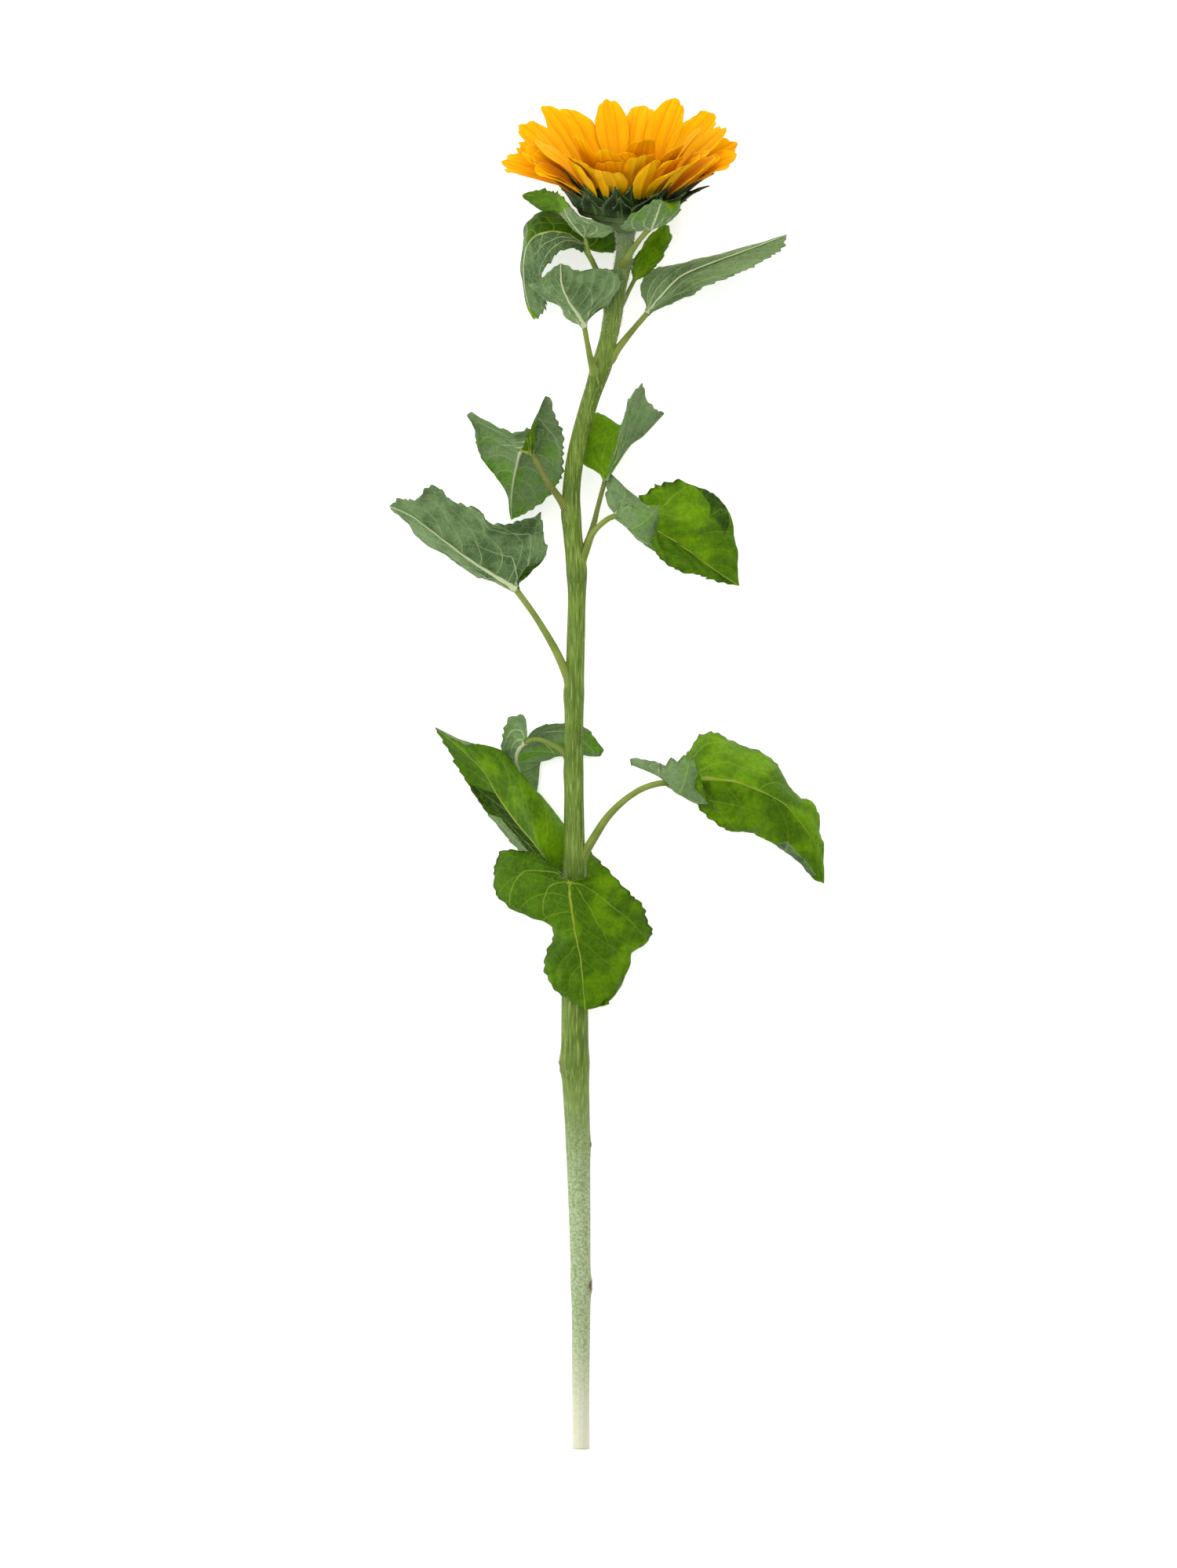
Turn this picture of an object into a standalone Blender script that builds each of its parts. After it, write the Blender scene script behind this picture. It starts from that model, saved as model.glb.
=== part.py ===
"""A cut sunflower lying on a flat surface.

Run with: blender --background --python part.py

+Y runs up the stem to the flower head, +X to the right of it, and +Z up from the surface that the
flower lies on. The origin is under the middle of the whole flower, on that surface. The stem touches
the surface at its cut end and rises to the head, which rests on its lowest petals. All the sizes and
places below are in millimetres and become metres where they are used.
"""

import math
import random

import bmesh
import bpy
from mathutils import Matrix, Vector

MM = 0.001
GAP = 0.4                   # clearance kept between pieces that touch
SETTLE_REACH = 4.0          # height over which a drooping edge flattens onto the surface

# The stem: stations from the cut end to the neck, as x, y, z and radius.
STEM_ROUTE = [
    (-15.0, -387.0, 5.0, 5.0), (-15.0, -345.0, 7.5, 5.0), (-15.0, -294.0, 11.0, 5.5),
    (-16.5, -215.0, 16.0, 6.8), (-18.2, -165.0, 19.2, 7.7), (-18.5, -110.0, 22.7, 7.2),
    (-18.6, -60.0, 26.0, 6.3), (-18.9, 0.0, 29.9, 5.3), (-18.7, 45.0, 32.8, 5.3),
    (-17.4, 95.0, 36.0, 5.0), (-17.6, 118.0, 37.5, 5.4), (-19.8, 140.0, 39.0, 5.2),
    (-20.5, 162.0, 40.3, 5.0), (-17.6, 185.0, 41.9, 4.9), (-11.0, 211.0, 43.5, 4.8),
    (-4.4, 231.0, 44.8, 5.0), (2.1, 256.0, 46.3, 4.9), (6.2, 279.0, 47.2, 4.6),
    (9.0, 293.0, 47.6, 4.5), (10.2, 302.0, 48.4, 4.6), (10.5, 307.4, 49.9, 4.9),
    (10.5, 311.9, 51.3, 5.5),
]
STEM_STATIONS_BETWEEN = 2
STEM_BEVEL_RESOLUTION = 3   # 10 sides

# The head: the middle of its rim, and the lean of its axis.
HEAD_CENTRE = (10.5, 337.0, 59.0)
HEAD_LEAN_UP = 17.0         # degrees from +Y towards +Z

LEAF_THICKNESS = 0.6
BLADE_ROWS = 12
PETIOLE_RING_SPACING = 9.0
PETAL_THICKNESS = 0.5
BRACT_THICKNESS = 0.8

GREEN_STEM = (0.24, 0.36, 0.07)
GREEN_LEAF = (0.10, 0.26, 0.04)
GREEN_BRACT = (0.05, 0.13, 0.04)
YELLOW_PETAL = (0.95, 0.45, 0.01)
BROWN_DISC = (0.10, 0.05, 0.02)

# A leaf is drawn by its midrib and its two margins, from the end of the petiole to the tip, each a smooth
# curve through the points given. "left" and "right" are the margins' sides with the upper face towards
# the eye and the tip ahead. A vein line between midrib and margin is given where that half is folded;
# elsewhere the half bellies out by "belly" at its middle.
LEAVES = {
    "leaf_collar_front": {
        "petiole": [(9.2, 292, 47.6), (12, 297, 60), (16.5, 303.5, 69), (21, 309, 75), (25, 313, 79)],
        "petiole_radius": (2.4, 1.5),
        "midrib": [(25, 313, 79), (27, 317, 86), (29, 322, 92), (31, 327, 98), (34, 325.5, 102),
                   (36.5, 321, 103)],
        "left": [(25, 313, 79), (33, 314.5, 79), (38, 319, 83), (41, 325, 87), (39.5, 328.5, 92),
                 (38.5, 326, 99), (36.5, 321, 103)],
        "right": [(25, 313, 79), (17, 310.5, 79), (9.5, 312, 84), (12, 318, 92), (19, 323, 96),
                  (26, 327, 98), (30, 328, 101), (33.5, 325, 103.5), (36.5, 321, 103)],
        "belly_left": (0, -1, -1), "belly_right": (0, -1, -1),
    },
    "leaf_collar_left": {
        "petiole": [(4.5, 270, 47), (-2, 281, 52), (-8, 293, 55), (-11, 302, 56), (-12.5, 309, 57)],
        "petiole_radius": (1.6, 1.1),
        "midrib": [(-12.5, 309, 57), (-16, 312, 61), (-21, 318, 62), (-25, 326, 56), (-30, 331, 47),
                   (-38, 332.5, 37), (-49, 333.5, 28)],
        "left": [(-12.5, 309, 57), (-8, 308, 65), (0, 309.5, 75), (4, 312, 80), (0, 315.5, 85),
                 (-9, 316, 83), (-18, 321.5, 75), (-25, 330, 62), (-31, 334, 48), (-40, 335.5, 36),
                 (-49, 333.5, 28)],
        "right": [(-12.5, 309, 57), (-16, 310.5, 52), (-21, 315, 49), (-25, 320.5, 45),
                  (-31, 322.5, 38), (-41, 325, 31), (-46, 330, 28), (-49, 333.5, 28)],
        "belly_left": (-1, -1, 1), "belly_right": (-1, -1, 1),
    },
    "leaf_top_left": {
        "petiole": [(3.0, 260, 46.8), (-1.5, 275, 43), (-5, 287, 41), (-9, 296, 41), (-14, 304, 42)],
        "petiole_radius": (2.6, 1.6),
        "midrib": [(-14, 304, 42), (-22, 310, 45), (-32, 311.5, 45), (-41, 309, 41), (-46, 302, 35),
                   (-47.5, 289, 27), (-46, 275, 21), (-42, 262, 17)],
        "left": [(-14, 304, 42), (-14, 300.5, 46), (-20, 302.5, 51), (-26, 301.5, 53), (-31, 298, 52),
                 (-35, 291, 48), (-38, 284, 42), (-38, 277, 36), (-36, 272, 31), (-36.5, 267, 26),
                 (-42, 262, 17)],
        "right": [(-14, 304, 42), (-6, 300.5, 36), (4, 300, 33), (8, 307, 31), (1, 315, 29),
                  (-12, 319, 29), (-25, 321.5, 29), (-35, 323, 28), (-42, 319, 26), (-46.5, 314, 23),
                  (-47.5, 303, 19), (-48.5, 292, 16), (-47.5, 280, 14), (-46, 270, 14), (-42, 262, 17)],
        "belly_left": (0, 1, -1), "belly_right": (0, 2, 3),
    },
    "leaf_top_front": {
        "petiole": [(-5, 228, 44.5), (-8.5, 235, 52), (-11, 246, 58), (-13, 257, 62)],
        "petiole_radius": (2.5, 1.5),
        "midrib": [(-13, 257, 62), (-17, 264, 66), (-22, 271, 69), (-26, 281, 70), (-26.5, 293, 68)],
        "left": [(-13, 257, 62), (-10, 262, 62), (-4, 267, 61), (3, 273, 61), (8, 281, 62),
                 (6, 287, 64), (0, 290, 65), (-8, 290.5, 67), (-18, 289, 69), (-26.5, 293, 68)],
        "right": [(-13, 257, 62), (-17, 258.5, 60), (-25, 263, 56), (-31, 269.5, 55), (-37, 272, 54),
                  (-45, 279.5, 54), (-41, 282.5, 58), (-34, 287, 63), (-26.5, 293, 68)],
        "belly_left": (0, 0, -3), "belly_right": (0, 0, 3),
    },
    "leaf_top_right_small": {
        "petiole": [(3.0, 260, 46.8), (8, 269, 43), (12, 277, 39), (16, 285, 36)],
        "petiole_radius": (2.0, 1.2),
        "midrib": [(16, 285, 36), (21, 293, 34), (26, 303, 33), (31, 311, 33), (33, 317, 34)],
        "left": [(16, 285, 36), (14, 289, 37), (14, 294, 38), (18, 300, 41), (22, 307, 41),
                 (28, 313, 38), (33, 317, 34)],
        "right": [(16, 285, 36), (20, 286, 33), (28, 294, 28), (34, 302, 26), (36.5, 308, 26),
                  (35.5, 313, 29), (33, 317, 34)],
        "belly_left": (0, 0, 1), "belly_right": (0, 0, 3),
    },
    "leaf_top_right": {
        "petiole": [(-1.0, 236, 45.2), (6, 244.5, 45), (14, 254.5, 43), (23, 265, 41)],
        "petiole_radius": (2.6, 1.6),
        "midrib": [(23, 265, 41), (33, 277, 40), (43, 286.5, 38), (60, 294, 34), (80, 301.5, 27),
                   (103.5, 311, 18)],
        "left": [(23, 265, 41), (30, 267.5, 46), (40, 271.5, 53), (49, 274, 56), (56, 280, 56),
                 (70, 286, 51), (80, 290, 45), (92, 296.5, 35), (99, 302, 27), (103.5, 311, 18)],
        "right": [(23, 265, 41), (22.5, 270, 39), (19.5, 279, 34), (22, 286, 29), (28, 290, 24),
                  (40, 293, 18), (57, 297.5, 12), (70, 301, 9), (85, 305.5, 9), (103.5, 311, 18)],
        "belly_left": (0, 2, -6), "belly_right": (0, 2, 3),
    },
    "leaf_middle_left": {
        "petiole": [(-20.5, 150, 39.5), (-28, 160, 45), (-35, 170, 50), (-42, 183, 52)],
        "petiole_radius": (2.6, 1.6),
        "midrib": [(-42.5, 184, 52), (-49, 185.5, 50), (-52, 177, 41), (-54, 167, 32), (-55, 157, 24),
                   (-55, 147, 17)],
        "left": [(-42.5, 184, 52), (-47, 190, 57), (-55, 195, 60), (-66, 203, 59), (-79, 207, 54),
                 (-76, 198, 46), (-75, 190, 40), (-70, 179, 31), (-62, 170, 24), (-57, 161, 18),
                 (-56, 152, 16), (-55, 147, 17)],
        "right": [(-42.5, 184, 52), (-41, 192, 58), (-39, 203, 63), (-34, 216, 64), (-30, 207, 56),
                  (-26.5, 196, 47), (-25.5, 182, 38), (-27, 171, 30), (-34, 161, 22), (-44, 153, 17),
                  (-55, 147, 17)],
        "belly_left": (0, 0, -5), "belly_right": (0, 0, -5),
    },
    "leaf_middle_right_high": {
        "petiole": [(-17.6, 120, 37.6), (-12, 132, 36), (-8, 143, 35), (-5, 155, 35), (-1.5, 168, 36)],
        "petiole_radius": (2.4, 1.4),
        "midrib": [(-1, 169, 36), (5, 178, 40), (13, 189.5, 42), (20, 194.5, 42), (26, 200.5, 40),
                   (33, 208, 36)],
        "left": [(-1, 169, 36), (-6, 176, 32), (-11, 178, 29), (-16, 183, 27), (-17, 193, 26),
                 (-13, 203, 25), (-6, 207.5, 25), (1, 206, 26), (9, 201, 29), (18, 203, 32),
                 (26, 206, 34), (33, 208, 36)],
        "right": [(-1, 169, 36), (2, 180, 45), (5, 192, 55), (9, 203, 62), (14, 217, 66),
                  (19.5, 223, 64), (23.5, 215, 55), (28, 209.5, 45), (33, 208, 36)],
        "belly_left": (0, 0, 2), "belly_right": (1, -1, 2),
    },
    "leaf_middle_right": {
        "petiole": [(-17.5, 114, 37.2), (-12, 129, 43), (-8, 139, 50), (-1, 146, 55), (5, 149, 57)],
        "petiole_radius": (2.6, 1.6),
        "midrib": [(5, 149, 57), (13, 149, 58), (22, 144, 54), (33, 138, 47), (48, 128, 37),
                   (62, 118, 27), (76, 109, 17)],
        "left": [(5, 149, 57), (0, 156, 54), (1, 166, 50), (5, 173, 47), (8, 164, 42), (11, 156, 39),
                 (18, 153, 36), (22, 161, 32), (29, 166.5, 30), (40, 168.5, 28), (50, 165.5, 28),
                 (62, 161, 26), (70, 152, 24), (73, 144, 22), (73, 134, 20), (73, 122, 18),
                 (76, 109, 17)],
        "right": [(5, 149, 57), (8, 154, 65), (18, 153.5, 69), (27, 152, 69), (29, 146, 66),
                  (27, 138, 62), (26.5, 131, 56), (32, 123.5, 47), (42, 117.5, 38), (52, 115.5, 31),
                  (64, 112, 23), (76, 109, 17)],
        "left_vein": [(5, 149, 57), (6, 155, 54), (12, 155, 50), (24, 152, 45), (40, 151, 41),
                      (55, 149, 36), (66, 140, 27), (76, 109, 17)],
        "right_vein": [(5, 149, 57), (8, 145.5, 61), (14, 139.5, 62), (21, 133, 57), (28, 128, 50),
                       (40, 124.5, 41), (55, 119.5, 30), (68, 113.5, 21), (76, 109, 17)],
    },
    "leaf_large_left": {
        "petiole": [(-18.6, 46, 32.8), (-24, 60, 35), (-29.5, 72, 37), (-37, 85, 38), (-43.5, 95, 38),
                    (-52, 106.5, 37)],
        "petiole_radius": (2.9, 1.8),
        "midrib": [(-52, 107, 37), (-60, 112, 37), (-79, 124, 36), (-100, 140, 33), (-112, 149, 29),
                   (-125, 155, 25)],
        "left": [(-52, 107, 37), (-50.5, 114, 38), (-47, 120, 40), (-40, 125, 43), (-36, 135, 46),
                 (-35.5, 143, 48), (-38, 151, 50), (-46, 147.5, 52), (-56, 145, 54), (-68, 144.5, 55),
                 (-74, 150, 56), (-88, 157, 54), (-100, 165, 50), (-111, 158.5, 41), (-118, 158, 33),
                 (-125, 155, 25)],
        "right": [(-52, 107, 37), (-57, 106, 27), (-68, 113, 15), (-80, 119.5, 5), (-92, 127, 0),
                  (-104, 135, -1), (-115, 143, 3), (-121, 149.5, 12), (-125, 155, 25)],
        "belly_left": (3, -2, -9), "belly_right": (-2, -1, 2),
    },
    "leaf_low_left_small": {
        "petiole": [(-18.9, 2, 30), (-24.5, 13, 25), (-33, 18.5, 23), (-41, 21, 23), (-47, 19, 23)],
        "petiole_radius": (2.3, 1.4),
        "midrib": [(-47, 19, 23), (-51, 14, 20), (-52, 8, 17), (-49, 0, 13), (-45, -7, 9),
                   (-41, -13, 5)],
        "left": [(-47, 19, 23), (-46, 26, 26), (-48, 34, 26), (-56, 31.5, 22), (-59, 22, 17),
                 (-60, 14, 12), (-57, 6, 8), (-52, -3, 5), (-47, -10, 3), (-41, -13, 5)],
        "right": [(-47, 19, 23), (-42, 27, 25), (-34, 29.5, 19), (-22, 29.5, 13), (-12, 27, 9),
                  (-3, 14, 4), (-12, 12, 3), (-24, 13, 3), (-36, 15, 5), (-38.5, 6, 6), (-39.5, -4, 5),
                  (-41, -13, 5)],
        "belly_left": (0, 0, -3), "belly_right": (2, 2, -2),
    },
    "leaf_low_left": {
        "petiole": [(-18.6, -78, 24.6), (-23, -69, 21), (-27, -59, 20)],
        "petiole_radius": (2.6, 1.6),
        "midrib": [(-27, -58, 20), (-40, -40, 17), (-52, -26, 14), (-62, -12, 13), (-70, 2, 14),
                   (-83, 15, 16), (-99, 28, 18)],
        "right": [(-27, -58, 20), (-18, -60, 11), (-8, -56, 6), (-5.5, -50, 4), (-10, -43, 4),
                  (-18, -34, 6), (-24, -28, 9), (-31, -20, 13), (-39, -13.5, 18), (-48, -4, 24),
                  (-54, 7, 26), (-61, 14.5, 25), (-74, 17.5, 23), (-85, 20, 21), (-99, 28, 18)],
        "right_vein": [(-27, -58, 20), (-30, -52, 22), (-34, -42, 26), (-41, -21, 31), (-48.5, -4, 32),
                       (-58, 7, 28), (-78, 17, 21), (-99, 28, 18)],
        "left": [(-27, -58, 20), (-34, -53, 13), (-42, -48, 8), (-51, -42, 4), (-61, -31, 1),
                 (-70, -20, 0), (-79, -6, 1), (-87, 7, 4), (-93, 18, 10), (-99, 28, 18)],
        "belly_left": (0, 0, -2),
    },
    "leaf_large_right": {
        "petiole": [(-18.6, -54, 26.4), (-9, -38, 31), (0, -24, 37), (10, -14, 42), (20, -7.5, 46),
                    (29, -4.5, 47), (35, -4, 47)],
        "petiole_radius": (2.9, 1.8),
        "midrib": [(35, -4, 47), (50, -1.5, 47), (70, -2.5, 42), (86, -8, 34), (100, -15, 25),
                   (112, -28, 16), (120, -44, 7), (125, -62, 1)],
        "left": [(35, -4, 47), (27, 2, 40), (13, 8, 30), (28, 5.5, 24), (42, 8, 24), (46, 16, 22),
                 (55, 23.5, 19), (70, 21.5, 16), (84, 16, 13), (97, 8, 10), (104, -4, 8),
                 (111, -13, 6), (117, -16, 4), (122, -27, 2), (124.5, -38, 0), (125, -50, -1),
                 (125, -62, 1)],
        "right": [(35, -4, 47), (31, 3, 55), (38, 7, 61), (46, 9.5, 64), (51, 3, 63), (51, -6, 59),
                  (52.5, -17, 50), (61, -25.5, 41), (72, -32, 32), (81, -34.5, 25), (90, -37, 18),
                  (99, -42, 10), (109, -50, 3), (118, -58.5, 0), (125, -62, 1)],
        "right_vein": [(35, -4, 47), (37, -7.5, 53), (42, -11, 56), (49, -14.5, 53), (58, -17, 46),
                       (72, -20, 37), (88, -24, 27), (102, -32, 17), (114, -45, 8), (125, -62, 1)],
        "belly_left": (0, 0, 4),
    },
    "leaf_low_front": {
        "petiole": [(-18.5, -92, 24), (-18.3, -82, 34), (-20, -71, 42), (-22.5, -62, 45)],
        "petiole_radius": (2.7, 1.7),
        "midrib": [(-22.5, -61.5, 45), (-22, -68, 48), (-20, -80, 49), (-18, -92, 47),
                   (-15.5, -104, 44), (-14, -117, 40), (-12.5, -134.5, 34)],
        "left": [(-22.5, -61.5, 45), (-14, -57, 46), (-4, -51, 43), (5, -60, 39), (14, -68.5, 35),
                 (20, -74.5, 30), (24, -84, 25), (28, -93, 20), (21.5, -97, 18), (17.5, -93, 21),
                 (13.5, -98, 25), (11.5, -106, 28), (10.5, -120, 29), (4, -128.5, 31), (-4, -132, 33),
                 (-12.5, -134.5, 34)],
        "right": [(-22.5, -61.5, 45), (-28, -57.5, 44), (-34, -48, 42), (-40, -43.5, 41),
                  (-60, -43, 34), (-65.5, -50, 30), (-66.5, -60, 27), (-64, -72, 26), (-57, -75, 28),
                  (-49, -79, 30), (-38, -76, 35), (-33, -84, 36), (-31, -93, 35), (-35, -103, 32),
                  (-35.5, -111, 31), (-30, -121, 31), (-23, -126.5, 32), (-12.5, -134.5, 34)],
        "left_vein": [(-22.5, -61.5, 45), (-12, -61, 43), (-5, -72, 38), (1, -86, 35), (5, -100, 34),
                      (5, -114, 34), (-2, -127, 34), (-12.5, -134.5, 34)],
        "belly_right": (0, 0, 3),
    },
}
MIDRIB_LAG = 1.5            # margins run ahead of the midrib near the base, where the lobes are


def clear_scene():
    for obj in list(bpy.data.objects):
        bpy.data.objects.remove(obj, do_unlink=True)


def collection_named(name):
    made = bpy.data.collections.new(name)
    bpy.context.scene.collection.children.link(made)
    return made


def material_named(name, colour, roughness):
    made = bpy.data.materials.new(name)
    made.use_nodes = True
    shader = made.node_tree.nodes["Principled BSDF"]
    shader.inputs["Base Color"].default_value = (*colour, 1.0)
    shader.inputs["Roughness"].default_value = roughness
    shader.inputs["Metallic"].default_value = 0.0
    return made


def add_object(name, data, collection, material=None):
    obj = bpy.data.objects.new(name, data)
    collection.objects.link(obj)
    if material is not None:
        data.materials.append(material)
    return obj


def curve_between(points, i, t):
    """The point at t (0 to 1) between point i and the next on the smooth curve through points."""
    a, b = Vector(points[i]), Vector(points[i + 1])
    before = Vector(points[i - 1]) if i > 0 else a * 2 - b
    after = Vector(points[i + 2]) if i + 2 < len(points) else b * 2 - a
    return 0.5 * (
        2 * a + (b - before) * t
        + (2 * before - 5 * a + 4 * b - after) * t * t
        + (3 * a - before - 3 * b + after) * t ** 3
    )


def curve_point(points, share):
    """The point at share (0 to 1) of the smooth curve through points, by the distance between them."""
    stations = [0.0]
    for a, b in zip(points, points[1:]):
        stations.append(stations[-1] + (Vector(b) - Vector(a)).length)
    target = min(max(share, 0.0), 1.0) * stations[-1]
    i = 0
    while i < len(points) - 2 and stations[i + 1] < target:
        i += 1
    return curve_between(points, i, (target - stations[i]) / (stations[i + 1] - stations[i]))


def settled(point, half_thickness):
    """A point of a thin piece, flattened onto the surface where it would reach below it."""
    z = 0.5 * (point.z + math.sqrt(point.z ** 2 + SETTLE_REACH ** 2)) - 0.1 * SETTLE_REACH
    return Vector((point.x, point.y, max(z, half_thickness)))


def stem_stations():
    """The stem's (x, y, z, radius) at its route's stations and between them."""
    centres = [station[:3] for station in STEM_ROUTE]
    made = []
    for i, (here, ahead) in enumerate(zip(STEM_ROUTE, STEM_ROUTE[1:])):
        for k in range(STEM_STATIONS_BETWEEN):
            t = k / STEM_STATIONS_BETWEEN
            made.append((*curve_between(centres, i, t), here[3] + (ahead[3] - here[3]) * t))
    made.append(STEM_ROUTE[-1])
    return made


def interpolated(places, values, place):
    """The value at place, read along straight lines between the values at rising places."""
    i = 0
    while i < len(places) - 2 and places[i + 1] < place:
        i += 1
    t = min(max((place - places[i]) / (places[i + 1] - places[i]), 0.0), 1.0)
    return values[i] * (1 - t) + values[i + 1] * t


def make_stem(collection, material):
    stations = stem_stations()
    data = bpy.data.curves.new("stem", "CURVE")
    data.dimensions = "3D"
    data.bevel_depth = MM
    data.bevel_resolution = STEM_BEVEL_RESOLUTION
    data.use_fill_caps = True
    spline = data.splines.new("POLY")
    spline.points.add(len(stations) - 1)
    for point, (x, y, z, radius) in zip(spline.points, stations):
        point.co = (x * MM, y * MM, z * MM, 1.0)
        point.radius = radius
    return add_object("stem", data, collection, material)


def smooth(obj):
    obj.data.shade_smooth()
    obj.data.set_sharp_from_angle(angle=math.radians(50))


def blade_point(leaf, along, across):
    """The middle of the blade: along runs 0 to 1, across from -1 on the left margin to 1 on the right."""
    side = "left" if across < 0 else "right"
    share = abs(across)
    middle = curve_point(leaf["midrib"], along ** MIDRIB_LAG)
    edge = curve_point(leaf[side], along)
    vein = leaf.get(side + "_vein")
    if vein:
        between = curve_point(vein, along)
    else:
        belly = Vector(leaf.get("belly_" + side, (0, 0, 0)))
        between = (middle + edge) / 2 + belly * math.sin(math.pi * along)
    point = (
        middle * (1 - share) * (1 - 2 * share)
        + between * 4 * share * (1 - share)
        + edge * share * (2 * share - 1)
    )
    return settled(point, LEAF_THICKNESS / 2)


def blade_up(leaf, along, across):
    """The direction of the blade's upper face."""
    step = 0.02
    ahead = blade_point(leaf, min(along + step, 1.0), across) - blade_point(leaf, along - step, across)
    inner, outer = max(across - step, -1.0), min(across + step, 1.0)
    leftward = blade_point(leaf, along, inner) - blade_point(leaf, along, outer)
    return ahead.cross(leftward).normalized()


def blade_ring(leaf, along, per_half):
    """A closed section of the blade: over the top from left to right, then back underneath."""
    ring = []
    for column in range(4 * per_half):
        over = column <= 2 * per_half
        across = column / per_half - 1 if over else 3 - column / per_half
        point = blade_point(leaf, along, across)
        if abs(across) < 1:
            point = point + blade_up(leaf, along, across) * LEAF_THICKNESS / 2 * (1 if over else -1)
        ring.append(point)
    return ring


def petiole_rings(leaf, per_half):
    """Round sections from the stem to the blade, the first cut to lie along the stem's side."""
    route = leaf["petiole"]
    wide, narrow = leaf["petiole_radius"]
    root = Vector(route[0])
    for here, ahead in zip(STEM_ROUTE, STEM_ROUTE[1:]):
        if here[1] <= root.y <= ahead[1]:
            along_stem = (Vector(ahead[:3]) - Vector(here[:3])).normalized()
    outward = Vector(route[1]) - root
    outward = (outward - along_stem * outward.dot(along_stem)).normalized()
    heights = [station[1] for station in STEM_ROUTE]
    clear = interpolated(heights, [station[3] for station in STEM_ROUTE], root.y) + GAP
    start = 0.0
    while (curve_point(route, start) - root).dot(outward) < clear:
        start += 0.002

    length = sum((Vector(b) - Vector(a)).length for a, b in zip(route, route[1:])) * (1 - start)
    count = max(3, round(length / PETIOLE_RING_SPACING))
    shares = [start + (1 - start) * i / count for i in range(count)] + [0.985]
    up = blade_up(leaf, 0.12, 0.0)
    rings = []
    for share in reversed(shares):
        centre = curve_point(route, share)
        ahead = (curve_point(route, share + 0.01) - curve_point(route, share - 0.01)).normalized()
        up = (up - ahead * up.dot(ahead)).normalized()
        left = up.cross(ahead)
        radius = wide + (narrow - wide) * min((share - start) / (1 - start) * 1.4, 1.0)
        ring = []
        for column in range(4 * per_half):
            angle = math.pi * column / (2 * per_half)
            point = centre + (left * math.cos(angle) + up * math.sin(angle)) * radius
            if share == start:
                point = point + ahead * ((clear - (point - root).dot(outward)) / ahead.dot(outward))
            ring.append(point)
        rings.insert(0, ring)
    return rings


def rolled_up(name, rings, collection, material):
    """A closed solid through rings of equal count: a grid rolled into a tube, closed at both ends."""
    around = len(rings[0])
    first = sum(rings[0], Vector()) / around
    rows = [[first] * around, *rings]
    work = bmesh.new()
    bmesh.ops.create_grid(work, x_segments=around, y_segments=len(rows) - 1, size=1.0)
    for vert in work.verts:
        column = round((vert.co.x + 1) / 2 * around) % around
        row = round((vert.co.y + 1) / 2 * (len(rows) - 1))
        vert.co = rows[row][column] * MM
    bmesh.ops.remove_doubles(work, verts=work.verts, dist=1e-6)
    bmesh.ops.recalc_face_normals(work, faces=work.faces)
    bmesh.ops.triangulate(work, faces=work.faces, quad_method="SHORT_EDGE")
    data = bpy.data.meshes.new(name)
    work.to_mesh(data)
    work.free()
    return add_object(name, data, collection, material)


def make_leaf(name, leaf, collection, material):
    """A petiole that runs out into a thin blade, as one solid."""
    per_half = 4 if "left_vein" in leaf or "right_vein" in leaf else 3
    rings = petiole_rings(leaf, per_half)
    for row in range(1, BLADE_ROWS):
        rings.append(blade_ring(leaf, row / BLADE_ROWS, per_half))
    rings.append([Vector(leaf["midrib"][-1])] * len(rings[0]))
    return rolled_up(name, rings, collection, material)


def head_matrix():
    """From the head's own frame, +Z along its axis and the origin at its rim's middle, to the world's."""
    turn = Matrix.Rotation(math.radians(HEAD_LEAN_UP - 90.0), 4, "X")
    return Matrix.Translation(Vector(HEAD_CENTRE) * MM) @ turn


def turned(name, profile, steps, collection, material, matrix):
    """A solid turned about its own Z axis from a profile of (radius, height), top to bottom at +X."""
    data = bpy.data.meshes.new(name)
    points = [(r * MM, 0.0, z * MM) for r, z in profile]
    data.from_pydata(points, [(i, i + 1) for i in range(len(points) - 1)], [])
    obj = add_object(name, data, collection, material)
    obj.matrix_world = matrix
    spin = obj.modifiers.new("turn", "SCREW")
    spin.axis = "Z"
    spin.steps = steps
    spin.render_steps = steps
    spin.use_merge_vertices = True
    spin.merge_threshold = 0.00001
    return obj


RECEPTACLE_PROFILE = [
    (0.0, -0.5), (15.0, -0.5), (26.6, -0.5), (27.0, -3.5), (25.6, -9.5), (21.6, -16.0),
    (15.0, -21.0), (8.5, -24.0), (5.6, -25.6), (0.0, -25.6),
]
DISC_PROFILE = [
    (0.0, 6.0), (7.0, 6.9), (14.0, 7.6), (20.0, 6.9), (24.0, 4.6), (26.2, 1.4), (26.2, -0.1),
    (0.0, -0.1),
]
TURN_STEPS = 24

# Bracts stand in two crowns round the receptacle, grown together at their feet. "band" is the joined
# foot's lower and upper edge as (radius, height); "rise" is the blades' angle at foot and tip. Towards
# +Z pieces of the head stand "raised" degrees steeper, towards the surface "dropped" degrees flatter,
# and towards +X "slant" degrees steeper.
CROWNS = {
    "bracts_inner": dict(count=13, band=((27.9, -7.0), (29.4, -3.4)), length=16.0, rise=(30.0, 12.0),
                         raised=20.0, dropped=8.0, slant=3.0, turn=0.5),
    "bracts_outer": dict(count=13, band=((27.2, -12.6), (30.6, -8.0)), length=22.0, rise=(36.0, 20.0),
                         raised=20.0, dropped=8.0, slant=3.0, turn=0.0),
}
BRACT_COLUMNS = 2
BRACT_WIDTH_AT = (1.0, 0.94, 0.58, 0.0)

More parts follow.
